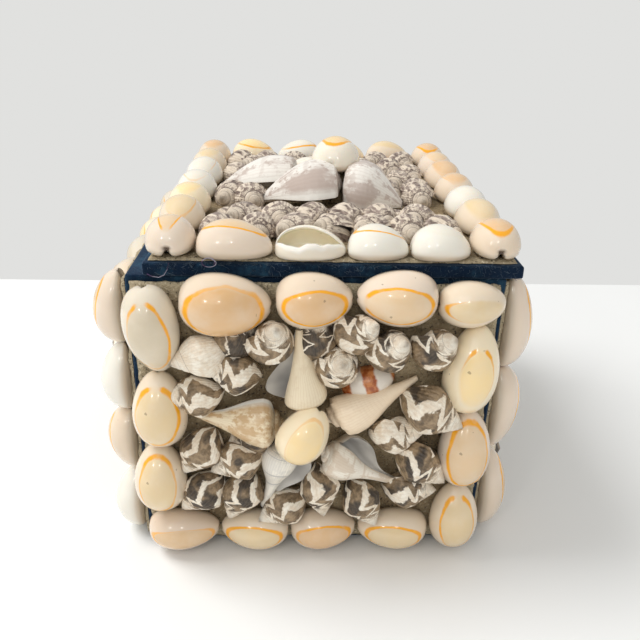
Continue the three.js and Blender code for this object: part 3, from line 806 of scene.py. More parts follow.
def broken_cowrie(length, width):
    """A cowrie with a hole along its top. Each ring goes round outside, over a lip and back inside."""
    high = 0.63 * width
    rings, around = 44, 38
    points, colours = [], []
    for along in -np.cos(np.linspace(0.05, math.pi - 0.05, rings)):
        size = math.sqrt(1.0 - along * along) ** (0.9 + 0.12 * along) * (1.0 - 0.13 * along)
        lift = 0.20 * high * max(0.0, 1.0 - size) ** 1.5
        wide = max(0.0, 1.0 - abs(along / 0.97) ** 4.0)
        back_lip = 112.0 - wide * (38.0 - 34.0 * along + 9.0 * noise.noise(Vector((3.1 * along, 2.0, 0.5))))
        front_lip = 118.0 + wide * (40.0 - 8.0 * along + 14.0 * noise.noise(Vector((4.6 * along, 8.0, 1.5))))
        angles = np.radians(np.linspace(back_lip, front_lip - 360.0, around))
        cos, sin = np.cos(angles), np.sin(angles)
        top = sin >= 0.0
        y_unit, z_unit = cowrie_section(cos, sin, top)
        y = y_unit * size * width / 2
        z = z_unit * size * high + lift
        outer = np.stack([y, z], 1)
        centre = np.array((0.0, 0.42 * high * size + lift))
        reach = np.linalg.norm(outer - centre, axis=1)
        lip_near = np.exp(-((np.arange(around)[::-1] / 3.0) ** 2))
        wall = np.minimum(0.9 + 0.9 * lip_near, 0.4 * reach)
        inner = centre + (outer - centre) * (1.0 - wall / reach)[:, None]
        lips = []
        for end, before in ((-1, -2), (0, 1)):
            onward = outer[end] - outer[before]
            lips.append((outer[end] + inner[end]) / 2 + 0.45 * onward / np.linalg.norm(onward))
        loop = np.concatenate([outer, [lips[0]], inner[::-1], [lips[1]]])
        points.append(np.column_stack([np.full(len(loop), along * length / 2), loop]))
        parts = ["outside"] * (around - 2) + ["lip"] * 4 + ["hollow"] * (around - 1) + ["lip"]
        colours += [(*broken_look[part], 1.0) for part in parts]
    count = len(points[0])
    ends = [points[0].mean(0), points[-1].mean(0)]
    points = np.concatenate([*points, ends])
    colours += [(*broken_look["outside"], 1.0)] * 2
    return points, tube_faces(rings, count, 0, (len(points) - 2, len(points) - 1)), colours


spot = lid_rows["front"][1]
points, faces, colours = broken_cowrie(spot["length"], spot["width"])
values = {
    "lay": (0.0, 0.0, 1.0),
    "painted_mouth_shade": (0.0, 0.0, 0.0),
    "ring_marks": (0.0, 0.0, 0.0, 0.0),
    "ring_form": (0.8, 0.7, 0.0),
    "back_colour": colours,
    "margin_colour": colours,
}
broken_mesh = mesh_of("lid_front_cowrie_2", points, faces, values)
form = bmesh.new()
form.from_mesh(broken_mesh)
bmesh.ops.recalc_face_normals(form, faces=form.faces)
form.to_mesh(broken_mesh)
form.free()
seat = placing(spot["u"], spot["v"] - front_row_over, lid_bed_thick - front_row_sunk, spot["turn"])
placed("lid_front_cowrie_2", broken_mesh, porcelain, top_place @ seat, ["lid_cowrie_front_2"])

# Sides and back. The same cowries border the two long sides and the back, and one lies in the middle
# of each, ringed by small shells.
side_flower_length = 17.0
side_rim = box_height - 0.5
side_middle = box_height / 2


def plain_rows(width, across, up):
    """The cowries of a plain side: two upright columns, two rows between them and the middle one."""
    half = width / 2
    inner = half - side_cowrie_width - clearance
    spots = []
    for side in (-1, 1):
        at = side * (half - side_cowrie_width / 2)
        spots += row(foot_gap, side_rim, at, alike(up), side_cowrie_width, True)
    for at in (foot_gap + side_cowrie_width / 2, side_rim - side_cowrie_width / 2):
        spots += row(-inner, inner, at, alike(across), side_cowrie_width)
    middle = {"u": 0.0, "v": side_middle, "turn": 90.0}
    return [*spots, {**middle, "length": side_flower_length, "width": side_cowrie_width}]


# The columns next to the front show in the picture: the left one from the bottom up, then the right one.
side_looks = {
    ("left", 4): shown("white"),
    ("left", 5): shown("peach", (0.7, 0.7), (0.9, 0.9)),
    ("left", 6): shown("white"),
    ("left", 7): shown("rose", (0.7, 0.7), (0.9, 0.9)),
    ("right", 0): shown("rose", (0.8, 0.6), (0.9, 0.9)),
    ("right", 1): shown("rose", (0.7, 0.8), (0.9, 0.8)),
    ("right", 2): shown("rose", (0.8, 0.8), (0.9, 0.9)),
}
# The top row of the left side and the cowrie behind it sit lower, where the lid hides them from the front.
left_lower = (3, 13, 14, 15, 16, 17)
left_drop = 3.0
side_count = 0
for side, place, width, across, up in (
    ("back", back_place, box_width, 4, 4),
    ("left", left_place, box_depth, 5, 4),
    ("right", right_place, box_depth, 5, 3),
):
    for index, spot in enumerate(plain_rows(width, across, up)):
        side_count += 1
        look = side_looks.get((side, index)) or plain_look(side_count)
        low = side == "left" and index in left_lower
        spot["v"] -= left_drop * low
        out = bed_thick - clearance - low
        lay_cowrie(f"{side}_cowrie_{index + 1}", spot, out, place, f"{side}_bed", look)

# Coiled shells. Every small shell and whelk winds round its axis in a widening spiral, each whorl
# lapping the last. The mouth opens at the end of the last whorl, with a thin lip and a hollow inside.
coil_steps = 26
lip_points = 17
mouth_layers = 6


def smooth_line(corners, rounds=3):
    """Cuts the corners of a line of points again and again, and keeps its two ends."""
    line = np.asarray(corners, float)
    for _ in range(rounds):
        near = 0.75 * line[:-1] + 0.25 * line[1:]
        far = 0.25 * line[:-1] + 0.75 * line[1:]
        line = np.concatenate([line[:1], np.stack([near, far], 1).reshape(-1, 2), line[-1:]])
    return line


def spread(line, count):
    """The same line with its points evenly spaced."""
    gone = np.concatenate([[0.0], np.cumsum(np.hypot(*np.diff(line, axis=0).T))])
    at = np.linspace(0.0, gone[-1], count)
    return np.stack([np.interp(at, gone, line[:, 0]), np.interp(at, gone, line[:, 1])], 1)


def coiled_form(profile, growth, turns, length, width, mouth_at, apex_ahead, knobs=0, knob_high=0.0,
                flare=0.0, steps=coil_steps, whorl_points=8, base_points=9, bulk=0.0, lift=0.0, hand=1):
    """A coiled shell along X, from its whorl's profile of (share of length, radius) at the mouth."""
    line = smooth_line(profile)
    upper = line[0]
    apart = np.hypot(*(line - growth * upper).T)
    meet = 6 + int(np.argmin(apart[6:-3]))
    whorl = spread(line[: meet + 1], whorl_points)
    base = spread(line[meet:], base_points)
    whorl[-1] = base[0] = growth * upper
    count = int(turns * steps)
    gone = np.arange(count + 1) / steps
    left = gone - gone[-1]
    size = growth**left
    heading = 2 * math.pi * left

    def sheet(section, first, share_from, share_to):
        share = np.linspace(share_from, share_to, len(section))[None, :]
        turn, scale, angle = left[first:, None], size[first:, None], heading[first:, None]
        swell = flare * np.clip((turn + 0.17) / 0.17, 0.0, 1.0) ** 2 * np.sin(math.pi * share / 2)
        lump = np.maximum(0.0, np.cos(2 * math.pi * knobs * turn)) ** 2
        lump = lump * np.exp(-(((share - 0.62) / 0.2) ** 2))
        ribs = 1.0 + knob_high * lump * np.clip(share * 4, 0, 1) + swell
        low = growth * upper[0]
        near_end = np.clip((section[None, :, 0] - low) / (1.0 - low), 0.0, 1.0) * (share_to > 1.0)
        x = section[None, :, 0] * (scale + (1.0 - scale) * near_end)
        radius = section[None, :, 1] * (scale + (1.0 - scale) * near_end**2) * ribs
        coil = np.stack([turn + 0 * x, share + 0 * x, x], 2)
        return np.stack([x, radius * np.cos(angle), radius * np.sin(angle)], 2), coil

    upper_sheet, upper_coil = sheet(whorl, 0, 0.0, 1.0)
    lower_sheet, lower_coil = sheet(base, count - steps, 1.0, 2.0)
    points = [upper_sheet.reshape(-1, 3), lower_sheet.reshape(-1, 3)]
    coils = [upper_coil.reshape(-1, 3), lower_coil.reshape(-1, 3)]
    faces = []

    def quads(offset, rows, columns, flip=False):
        for one in range(rows - 1):
            for two in range(columns - 1):
                at = offset + one * columns + two
                face = (at, at + 1, at + columns + 1, at + columns)
                faces.append(face[::-1] if flip else face)

    quads(0, len(upper_sheet), whorl_points)
    start = upper_sheet.shape[0] * whorl_points
    quads(start, len(lower_sheet), base_points)
    # The apex is worn round: a fan closes the first turn.
    apex = start + lower_sheet.shape[0] * base_points
    points.append([[size[0] * upper[0] * 0.4, 0.0, 0.0]])
    coils.append([[left[0], 0.0, 0.0]])
    for step in range(min(steps, count)):
        faces.append((apex, step * whorl_points, (step + 1) * whorl_points))
    # The mouth: a hollow between the lip and the wall of the turn before.
    lip = np.concatenate([upper_sheet[-1], lower_sheet[-1][1:]])
    wall = lower_sheet[0]
    flat_lip = spread(np.stack([lip[:, 0], np.hypot(lip[:, 1], lip[:, 2])], 1), lip_points)
    flat_wall = spread(np.stack([wall[:, 0], np.hypot(wall[:, 1], wall[:, 2])], 1), lip_points)
    unflared = spread(np.concatenate([whorl, base[1:]]), lip_points)
    arch = np.sin(math.pi * np.linspace(0.03, 0.97, lip_points)) ** 0.5
    inner = []
    for layer in range(mouth_layers + 1):
        share = layer / mouth_layers
        back = -1.35 * (1.0 - (2 * share - 1) ** 4) * arch
        fade = np.exp(-((back / 0.3) ** 2))[:, None]
        ring = (flat_lip * fade + unflared * (1 - fade)) * (1 - share) + flat_wall * share
        shrink = growth ** (back / (2 * math.pi)) * (1.0 - 0.04 * math.sin(math.pi * share))
        ring = [ring[:, 0], ring[:, 1] * np.cos(back), ring[:, 1] * np.sin(back)]
        inner.append(np.stack(ring, 1) * shrink[:, None])
    first = apex + 1
    points.append(np.concatenate(inner))
    coils.append(np.tile((0.0, 1.5, 0.5), (len(points[-1]), 1)))
    quads(first, mouth_layers + 1, lip_points, flip=True)
    points = np.concatenate([np.asarray(part, float) for part in points])
    coil = np.concatenate([np.asarray(part, float) for part in coils])
    inside = np.zeros(len(points))
    inside[first:] = 1.0
    cos, sin = heading_of(mouth_at)
    y, z = points[:, 1].copy(), points[:, 2].copy()
    if apex_ahead:
        z = -z
    points[:, 1], points[:, 2] = y * cos - z * sin, y * sin + z * cos
    if hand < 0:
        points[:, 1] *= -1
    low, high = points.min(0), points.max(0)
    span = max(high[1] - low[1], high[2] - low[2])
    points[:, 1:] = (points[:, 1:] - (low[1:] + high[1:]) / 2) * width / span
    points[:, 0] *= length / high[0]
    if apex_ahead:
        points[:, 0] = length / 2 - points[:, 0]
    if bulk:
        share = points[:, 0] / length
        points[:, 2] += width / 2 * (0.42 + 0.8 * share - 0.92 * share * share) * bulk + lift * (1.0 - share)
    if (hand < 0) != apex_ahead:
        faces = [face[::-1] for face in faces]
    return points, faces, coil, inside


# Small shells. About a hundred and fifty little top-shaped sea snails fill the faces, pressed into the
# putty on their sides. Their brown coat has white zigzag bands, and their tips are worn chalky white.
small_length = 14.0
small_width = 10.4
lid_shell_length = 13.0
lid_shell_width = 10.0
sunk = 1.4
stray_step = 0.5
snug = 1.08
snail_growth = 1.6

zigzag_tree, brush, given, result = shader_group(
    "Zigzag Bands",
    {"Coil": "Vector", "Where": "Vector", **{name: "Float" for name in ("Seed", "Count", "Swing", "White")}},
    {"Mask": "Float"},
)
coil = brush.parts(given["Coil"])
waver = brush.grain(given["Where"], 260.0, 3.0, 0.6)
saw = brush.math("PINGPONG", brush.scaled(coil[1], 2.1, given["Seed"]), 1.0)
phase = brush.scaled(coil[0], given["Count"], given["Seed"])
phase = brush.scaled(saw, given["Swing"], phase)
phase = brush.scaled(waver, 0.7, phase)
band = brush.times(brush.math("PINGPONG", phase, 0.5), 2.0)
mask = brush.step(band, brush.math("SUBTRACT", given["White"], 0.07), brush.math("ADD", given["White"], 0.07))
brush.feed(result["Mask"], brush.rest(mask))

striped, brush, shader, where = surface("striped_snail", 0.5)
shader["Specular IOR Level"].default_value = 0.4
coil = brush.read("coil")
own = brush.parts(brush.read("own"))
strand = brush.parts(coil)
fine = brush.step(own[1], 8.0, 10.0)
bands = brush.group(
    zigzag_tree, Coil=coil, Where=where, Seed=own[0], Count=own[1], Swing=brush.scaled(fine, -0.4, 0.58),
    White=brush.scaled(own[2], 0.25, 0.33),
)["Mask"]
streaked = brush.vector(brush.scaled(strand[0], 13.0, own[0]), brush.times(strand[1], 1.6), own[0])
streaks = brush.step(brush.grain(streaked, 1.7, 4.0, 0.62), 0.42, 0.58)
bands = brush.scaled(brush.math("SUBTRACT", streaks, bands), fine, bands)
mottle = brush.step(brush.grain(where, 520.0, 3.0, 0.6), 0.33, 0.7)
soot = brush.step(brush.scaled(own[2], -0.10, brush.grain(where, 170.0, 2.0)), 0.50, 0.60)
brown = brush.mix(mottle, (0.16, 0.11, 0.062), (0.41, 0.295, 0.18))
brown = brush.mix(brush.times(soot, 0.8), brown, (0.022, 0.020, 0.020))
brown = brush.mix(fine, brown, brush.mix(mottle, (0.125, 0.09, 0.076), (0.39, 0.305, 0.26)))
chalk = brush.mix(mottle, (0.83, 0.71, 0.56), (0.98, 0.92, 0.80))
chalk = brush.mix(brush.times(fine, 0.75), chalk, (0.68, 0.58, 0.47))
rub = brush.scaled(brush.grain(where, 330.0, 3.0, 0.6), 0.34, strand[2])
worn_tip = brush.rest(brush.step(rub, 0.34, 0.46))
white = brush.math("MAXIMUM", bands, brush.times(worn_tip, 0.92))
coat = brush.mix(white, brown, chalk)
lines = brush.scaled(strand[0], 230.0, brush.times(brush.grain(where, 900.0), 5.0))
lines = brush.math("SINE", lines)
coat = brush.mix(brush.times(brush.step(lines, 0.2, 1.0), 0.10), coat, (0.30, 0.22, 0.17))
# Painted shade: a dark band along the top of each whorl, in the crease of the suture, except near the apex.
painted_suture_shade = brush.rest(brush.step(strand[1], 0.0, brush.scaled(fine, 0.10, 0.10)))
painted_suture_shade = brush.times(painted_suture_shade, brush.step(strand[2], 0.10, 0.22))
painted_suture_shade = brush.times(painted_suture_shade, brush.scaled(fine, 0.25, 0.6))
coat = brush.mix(painted_suture_shade, coat, (0.10, 0.075, 0.065))
inside = brush.read("inside", "Fac")
brush.paint(shader, inside, coat, (0.20, 0.17, 0.16))
rough = brush.scaled(white, 0.32, 0.34)
brush.feed(shader["Roughness"], rough)
height = brush.scaled(lines, 0.25, brush.grain(where, 1300.0, 3.0, 0.65))
brush.bump(shader, height, 0.00022, 0.8)

snail_profile = [
    (0.31, 0.55), (0.36, 0.685), (0.43, 0.80), (0.496, 0.88), (0.56, 0.99), (0.62, 0.98), (0.75, 0.80),
    (0.88, 0.53), (0.96, 0.27), (1.0, 0.05),
]
spiral_profile = [
    (0.29, 0.52), (0.335, 0.70), (0.40, 0.82), (0.464, 0.832), (0.53, 0.96), (0.64, 1.0), (0.77, 0.92),
    (0.88, 0.70), (0.96, 0.38), (1.0, 0.05),
]


def snail(spot, out, index, bands, whiteness, profile=snail_profile, steps=coil_steps, turns=4.2):
    """One small shell set on a face: its points there in millimetres, its faces and what its coat reads."""
    mouth_at = 10.0 + 55.0 * wobble(index, 12)
    points, faces, coil, inside = coiled_form(
        profile, snail_growth, turns, snug * spot["length"], snug * spot["width"], mouth_at, True, steps=steps
    )
    rise = abs(math.sin(math.radians(spot["lean"]))) * (spot["length"] - spot["width"]) * 0.5
    out = out - sunk - spot.get("deeper", 0.0) + spot["width"] / 2 + rise
    place = placing(spot["u"], spot["v"], out, spot["turn"], spot["lean"], 40.0 * wobble(index, 13))
    turned = points @ np.array(place.to_3x3()).T + np.array(place.translation) / mm
    bands *= 1.0 + 0.15 * wobble(index, 15)
    own = (3.0 + 3.0 * wobble(index, 14), bands, whiteness + 0.5 * wobble(index, 16))
    return turned, faces, coil, inside, np.tile(own, (len(points), 1))


def gathered(name, shells, place, node):
    """Joins shells that lie side by side on one face into one piece."""
    points, faces = joined(shells)
    coil, inside, own = (np.concatenate([shell[at] for shell in shells]) for at in (2, 3, 4))
    values = {"coil": coil, "inside": inside, "own": own}
    placed(name, mesh_of(name, points, faces, values), striped, place, [node])


field_middle = (bottom_row_top + box_height - front_cowrie_width) / 2
field_half_v = (box_height - front_cowrie_width - bottom_row_top) / 2


def on_front(share_u, share_v):
    return share_u * column_inner, field_middle + share_v * field_half_v


# Small shells of the front: shares of the field's half sizes, heading of the spire, lean and whiteness,
# then how much bigger and how much deeper in the putty some of them are.
front_snails = [
    (-0.34, 0.98, 78, 30, -0.1),
    (-0.88, 0.80, 196, 0, 2.3),
    (-0.63, 0.63, 165, 5, 0.2),
    (-0.93, 0.38, 180, 5, 0.4),
    (-0.92, -0.26, 236, 0, 0.2),
    (-0.62, -0.36, 200, 5, 0.4),
    (-0.92, -0.76, 222, 0, 0.2),
    (-0.60, -0.78, 245, 10, 0.5),
    (-0.25, -0.95, 205, 10, 0.6),
    (0.06, -0.72, 280, 10, 0.7),
    (0.41, -0.88, 300, 10, 0.1),
    (0.79, -0.72, 5, 5, 0.6),
    (0.86, -0.38, 325, 10, -0.2, 1.1),
    (0.65, -0.04, 14, 5, 1.1),
    (0.91, 0.24, 335, 5, -0.1, 1.2),
    (0.89, 0.92, 50, 25, -0.6),
    (0.53, 0.93, 56, 35, -0.7, 1.06),
    (0.29, 1.08, 45, 25, 0.1),
    (0.15, 0.73, 80, 50, 0.4),
    (0.0, 0.97, 95, 0, -0.9, 1.0, 2.0),
    (-0.60, 0.97, 60, 0, -0.8, 1.0, 2.5),
    (-0.50, -0.13, 205, 0, -0.7, 1.0, 2.8),
]
spire_lift = 12.0
for index, (share_u, share_v, turn, lean, whiteness, *rest) in enumerate(front_snails):
    u, v = on_front(share_u, share_v)
    bigger = rest[0] if rest else 1.0
    deeper = rest[1] if len(rest) > 1 else 0.0
    spot = {"u": u, "v": v, "turn": turn, "lean": lean, "deeper": deeper}
    spot |= {"length": 1.05 * bigger * small_length, "width": 1.05 * bigger * small_width}
    spot["lean"] += spire_lift
    shell = snail(spot, bed_thick, index, 5.0, whiteness)
    gathered(f"front_snail_{index + 1}", [shell], front_place, "front_bed")


# A smooth broken piece of another shell lies between them, with bands of rust and white across it.
banded, brush, shader, where = surface("banded_fragment", 0.25, Coat_Weight=0.3, Coat_Roughness=0.15)
lay = brush.parts(brush.read("lay"))
waver = brush.scaled(brush.grain(where, 400.0, 3.0, 0.6), 1.3, brush.times(lay[0], 6.5))
rust = brush.step(brush.math("SINE", waver), -0.2, 0.35)
streak = brush.step(brush.grain(where, 700.0, 3.0), 0.35, 0.65)
rusty = brush.mix(streak, (0.36, 0.085, 0.02), (0.62, 0.24, 0.08))
brush.paint(shader, rust, (0.80, 0.73, 0.64), rusty)
fragment_at = on_front(0.42, 0.47)
points, faces, lay, _ = cowrie_form(14.5, 9.5, 0.0)
fragment_mesh = mesh_of("front_fragment", points, faces, {"lay": lay})
fragment_place = front_place @ placing(*fragment_at, bed_thick - 1.6, 20.0, 4.0)
placed("front_fragment", fragment_mesh, banded, fragment_place, ["front_bed"])


def field(half_wide, low, high, pitch_u, pitch_v, heading, lean, keep_off):
    """Staggered lines of small shells over a patch, leaving out those that keep_off names."""
    across = max(2, int(2 * half_wide / pitch_u) + 1)
    up = max(2, int((high - low) / pitch_v) + 1)
    lines, made = [], 0
    for line in range(up):
        in_row = across - line % 2
        lines.append([])
        for step in range(in_row):
            index = made + line + step
            u = (step - (in_row - 1) / 2) * 2 * half_wide / (across - 1) + stray_step * wobble(index, 1)
            v = low + line * (high - low) / (up - 1) + stray_step * wobble(index, 2)
            if keep_off(u, v):
                continue
            turn = heading + 50 * wobble(index, 3)
            lines[-1].append({"u": u, "v": v, "turn": turn, "lean": lean + 14 * wobble(index, 4)})
            made += 1
    return lines


side_pitch_across = 12.4
side_pitch_up = 10.6
side_ring_radius = 13.0
for side, place, width in (
    ("back", back_place, box_width),
    ("left", left_place, box_depth),
    ("right", right_place, box_depth),
):
    inner = width / 2 - side_cowrie_width - clearance
    ring = []
    for index in range(6):
        cos, sin = heading_of(60.0 * index)
        spot = {"u": side_ring_radius * cos, "v": side_middle + side_ring_radius * sin}
        ring.append({**spot, "turn": 60.0 * index, "lean": 5.0})
    lines = field(
        inner - small_width / 2,
        foot_gap + side_cowrie_width + small_width / 2,
        side_rim - side_cowrie_width - small_width / 2,
        side_pitch_across,
        side_pitch_up,
        200.0,
        8.0,
        lambda u, v: math.hypot(u, v - side_middle) < side_ring_radius + 0.57 * small_length,
    )
    for number, line in enumerate([ring, *lines]):
        shells = [
            snail({**spot, "length": 1.06 * small_length, "width": 1.06 * small_width}, bed_thick,
                  40 * number + index, 5.0, 0.35)
            for index, spot in enumerate(line)
        ]
        if shells:
            gathered(f"{side}_snails_{number}", shells, place, f"{side}_bed")

# Whelks. Five long shells make the petals of each flower, their spires under the middle cowrie and their
# canals pointing out. They are cream, ochre and lilac grey, satin smooth, with a pale lip and knobs.
post_height = 8.5
lid_post_height = 10.5
post_radius = 3.6
flower_cowrie = {"length": 16.4, "width": 12.6}
front_petal_length = 25.0
lid_petal_length = 24.0
whelk_growth = 1.9
whelk_turns = 3.2

whelk_coat, brush, shader, where = surface("whelk_shell", 0.34, Coat_Weight=0.3, Coat_Roughness=0.2)
strand = brush.parts(brush.read("coil"))
own = brush.parts(brush.read("own"))
ground = brush.read("ground_colour", "Color")
stain = brush.read("stain_colour", "Color")
flames = brush.vector(brush.scaled(strand[0], 5.0, own[0]), brush.times(strand[1], 1.1), own[0])
flames = brush.grain(flames, 1.6, 4.0, 0.6)
spots = brush.step(brush.grain(where, 620.0, 2.0, 0.6), 0.50, 0.66)
flames = brush.scaled(spots, 0.10, flames)
flames = brush.step(flames, 0.45, 0.60)
girdle = brush.scaled(strand[1], 2.6, brush.times(brush.grain(where, 120.0), 0.5))
girdle = brush.step(brush.math("PINGPONG", girdle, 0.5), 0.40, 0.47)
marked = brush.times(flames, own[1])
marked = brush.math("MAXIMUM", marked, brush.times(girdle, own[2]))
rim = brush.times(brush.step(strand[1], 0.35, 0.8), brush.rest(brush.step(strand[1], 0.95, 1.3)))
blotch = brush.scaled(own[2], -0.35, brush.grain(where, 420.0, 3.0, 0.6))
rim = brush.times(rim, brush.step(blotch, 0.42, 0.6))
marked = brush.math("MAXIMUM", marked, brush.times(rim, own[1]))
coat = brush.mix(brush.times(marked, 0.85), ground, stain)
coat = brush.mix(brush.step(strand[0], -0.05, -0.012), coat, (0.78, 0.75, 0.69))
lines = brush.scaled(strand[0], 260.0, brush.times(brush.grain(where, 700.0), 4.0))
lines = brush.math("SINE", lines)
threads = brush.math("SINE", brush.times(strand[1], 95.0))
coat = brush.mix(brush.times(brush.step(lines, 0.1, 1.0), 0.16), coat, stain)
inside = brush.read("inside", "Fac")
lining = brush.mix(brush.step(brush.grain(where, 90.0), 0.3, 0.7), (0.36, 0.34, 0.32), (0.62, 0.59, 0.54))
brush.paint(shader, inside, coat, lining)
relief = brush.scaled(threads, 0.35, brush.times(lines, 0.4))
brush.bump(shader, relief, 0.00005, 0.6)

whelk_profile = [
    (0.155, 0.55), (0.185, 0.80), (0.225, 0.97), (0.26, 1.03), (0.295, 1.045), (0.40, 0.98), (0.52, 0.78),
    (0.64, 0.54), (0.76, 0.34), (0.90, 0.19), (1.0, 0.11),
]
conch_profile = [
    (0.085, 0.50), (0.105, 0.70), (0.13, 0.87), (0.1615, 0.95), (0.24, 1.02), (0.36, 1.08), (0.50, 1.04),
    (0.64, 0.87), (0.78, 0.60), (0.91, 0.31), (1.0, 0.12),
]
fig_profile = [
    (0.155, 0.55), (0.185, 0.80), (0.225, 0.97), (0.26, 1.03), (0.295, 1.045), (0.40, 1.03), (0.49, 0.90),
    (0.57, 0.66), (0.65, 0.42), (0.76, 0.25), (0.90, 0.17), (1.0, 0.12),
]
fur = {
    "cream": ((0.86, 0.74, 0.54), (0.58, 0.38, 0.19)),
    "peach": ((0.93, 0.77, 0.57), (0.70, 0.45, 0.27)),
    "chalk": ((0.90, 0.84, 0.73), (0.56, 0.40, 0.26)),
    "slate": ((0.90, 0.85, 0.75), (0.38, 0.38, 0.38)),
    "ochre": ((0.88, 0.76, 0.55), (0.54, 0.32, 0.13)),
    "lilac": ((0.82, 0.78, 0.72), (0.46, 0.36, 0.31)),
}


def petal_on(centre, petal, reach, out):
    """Turns a petal's start, sideways step and heading into a place on its face."""
    cos, sin = heading_of(petal["turn"])
    u = centre[0] + reach * (petal["start"] * cos - petal["sideways"] * sin)
    v = centre[1] + reach * (petal["start"] * sin + petal["sideways"] * cos)
    sizes = {"length": petal["length"] * reach, "width": petal["width"] * reach}
    return {**petal, **sizes, "u": u, "v": v, "out": out}


def lay_whelk(name, spot, place, node, profile):
    """Sets one whelk on a face, its axis bent down to the bed at both ends as the putty holds it."""
    points, faces, coil, inside = coiled_form(
        spot.get("profile", profile), whelk_growth, whelk_turns, spot["length"],
        spot["width"] * spot["plump"], spot["mouth_at"], False, knobs=9, knob_high=spot["knob_high"],
        flare=spot["flare"], steps=40, whorl_points=12, base_points=22, bulk=1.0, lift=spot["lift"],
        hand=spot["hand"],
    )
    ground, stain = fur[spot["coat"]]
    values = {
        "coil": coil,
        "inside": inside,
        "own": (spot["seed"], spot["flames"], spot["girdles"]),
        "ground_colour": (*ground, 1.0),
        "stain_colour": (*stain, 1.0),
    }
    mesh = mesh_of(name, points, faces, values)
    u, v = spot["u"] + spot["aside"][0], spot["v"] + spot["aside"][1]
    seat = place @ placing(u, v, spot["out"], spot["turn"])
    placed(name, mesh, whelk_coat, seat, [node])


def petal_row(start, sideways, turn, length, width, mouth_at, coat, flames, seed, **more):
    """One petal. Its place and size are shares of the flower's petal length."""
    plain = {"girdles": 0.0, "knob_high": 0.08, "lift": 0.0, "plump": 1.1, "flare": 0.12, "hand": 1}
    place = {"start": start, "sideways": sideways, "turn": turn, "length": length, "width": width}
    marks = {"mouth_at": mouth_at, "coat": coat, "flames": flames, "seed": seed, "aside": (0.0, 0.0)}
    return {**plain, **place, **marks, **more}


front_flower = on_front(-0.09, 0.12)
front_petals = [
    petal_row(0.14, 0.06, 93, 0.9, 0.51, -12, "cream", 0.2, 1.0, knob_high=0.02, lift=0.5, plump=1.24),
    petal_row(0.185, -0.135, 24, 1.08, 0.456, 185, "peach", 0.12, 2.0, knob_high=0.2, lift=2.0),
    petal_row(0.32, -0.138, -30, 1.0, 0.45, 5, "chalk", 0.6, 3.0, girdles=0.5, knob_high=0.06, lift=1.0,
              plump=1.3, profile=fig_profile),
    petal_row(0.288, 0.0, 252, 0.96, 0.43, -5, "slate", 0.3, 4.0, girdles=0.8, knob_high=0.05, plump=1.3,
              profile=fig_profile),
    petal_row(0.152, 0.08, 173, 1.0, 0.52, 175, "ochre", 0.9, 5.0, knob_high=0.04, lift=0.5),
]
for index, petal in enumerate(front_petals):
    spot = petal_on(front_flower, petal, front_petal_length, bed_thick)
    lay_whelk(f"front_whelk_{index + 1}", spot, front_place, f"front_petal_{index + 1}", whelk_profile)

lid_flower = (0.04 * lid_half_u, -0.01 * lid_half_v)
lid_petals = [
    petal_row(-0.018, 0.375, 186, 1.06, 0.558, 190, "lilac", 1.0, 6.0, girdles=0.35, hand=-1, flare=0.42,
              lift=3.4, plump=1.36, aside=(2.0, 0.3)),
    petal_row(0.269, -0.204, 340, 0.8, 0.525, 212, "lilac", 0.9, 7.0, knob_high=0.1, lift=3.2, plump=1.28,
              aside=(-2.0, 0.4)),
    petal_row(0.33, -0.167, 177, 1.125, 0.5, 181, "lilac", 0.9, 23.0, girdles=0.3, hand=-1, flare=0.42,
              lift=3.5, plump=1.28, aside=(-1.5, 0.4)),
    petal_row(0.375, -0.058, 119, 0.917, 0.475, 180, "chalk", 0.7, 9.0, lift=2.0),
    petal_row(0.308, 0.042, 40, 0.875, 0.483, 180, "lilac", 0.9, 10.0, lift=2.0),
]
lid_petal_spots = [petal_on(lid_flower, petal, lid_petal_length, lid_bed_thick) for petal in lid_petals]
for index, spot in enumerate(lid_petal_spots):
    lay_whelk(f"lid_whelk_{index + 1}", spot, top_place, f"lid_petal_{index + 1}", conch_profile)

# Flower middles. One cowrie is held high on a post of putty in the middle of each flower.
lid_middle_sunk = 1.3
post_rings = 9
post_sides = 20
for name, place, centre, turn, lean, bigger, tall, look in (
    ("front", front_place, front_flower, 60.0, 0.0, 1.0, bed_thick + post_height,
     shown("butter", (0.35, 0.15), (0.12, 0.05), long=0.8)),
    ("lid", top_place, (lid_flower[0] + 1.0, lid_flower[1]), 76.0, -6.0, 1.16,
     lid_bed_thick + lid_post_height - lid_middle_sunk,
     shown("sunny", (0.6, 0.9), (0.9, 0.5), long=0.74, broad=0.62)),
):
    spot = {"length": flower_cowrie["length"] * bigger, "width": flower_cowrie["width"] * bigger}
    seat = place @ placing(*centre, tall, turn, lean)
    mesh = cowrie_mesh(f"{name}_middle_cowrie", spot, look, 1.0 if lean else 0.5)
    placed(f"{name}_middle_cowrie", mesh, porcelain, seat, [f"{name}_flower_cowrie"])
    rings = []
    for level in range(post_rings):
        share = level / (post_rings - 1)
        for side in range(post_sides):
            angle = side / post_sides * 2 * math.pi
            lump = noise.noise(Vector((angle, level * 0.5, turn)))
            reach = post_radius * (1.35 - 0.42 * share) * (1.0 + 0.14 * lump)
            rings.append((centre[0] + reach * math.cos(angle), centre[1] + reach * math.sin(angle),
                          0.4 + share * (tall + 0.6)))
    faces = tube_faces(post_rings, post_sides)
    faces += [tuple(range(post_sides))[::-1], tuple(range(len(rings) - post_sides, len(rings)))]
    placed(f"{name}_post", mesh_of(f"{name}_post", rings, faces), putty, place, [f"{name}_bed"])

# Small shells of the lid. They stand leaning toward the front, so that their spiral tips show, and their
# fine purple brown streaks follow the growth of the shell.
lid_pitch_across = 9.6
lid_pitch_up = 9.4
lid_deeper = 2.0
lid_deeper_by_conch = 6.5
conch_tip = (-33.0, 5.0)
# A few fill the gaps beside the conches.
lid_strays = [(-30.0, -5.5, 250.0), (-23.5, -9.0, 285.0), (28.5, -7.0, 275.0)]


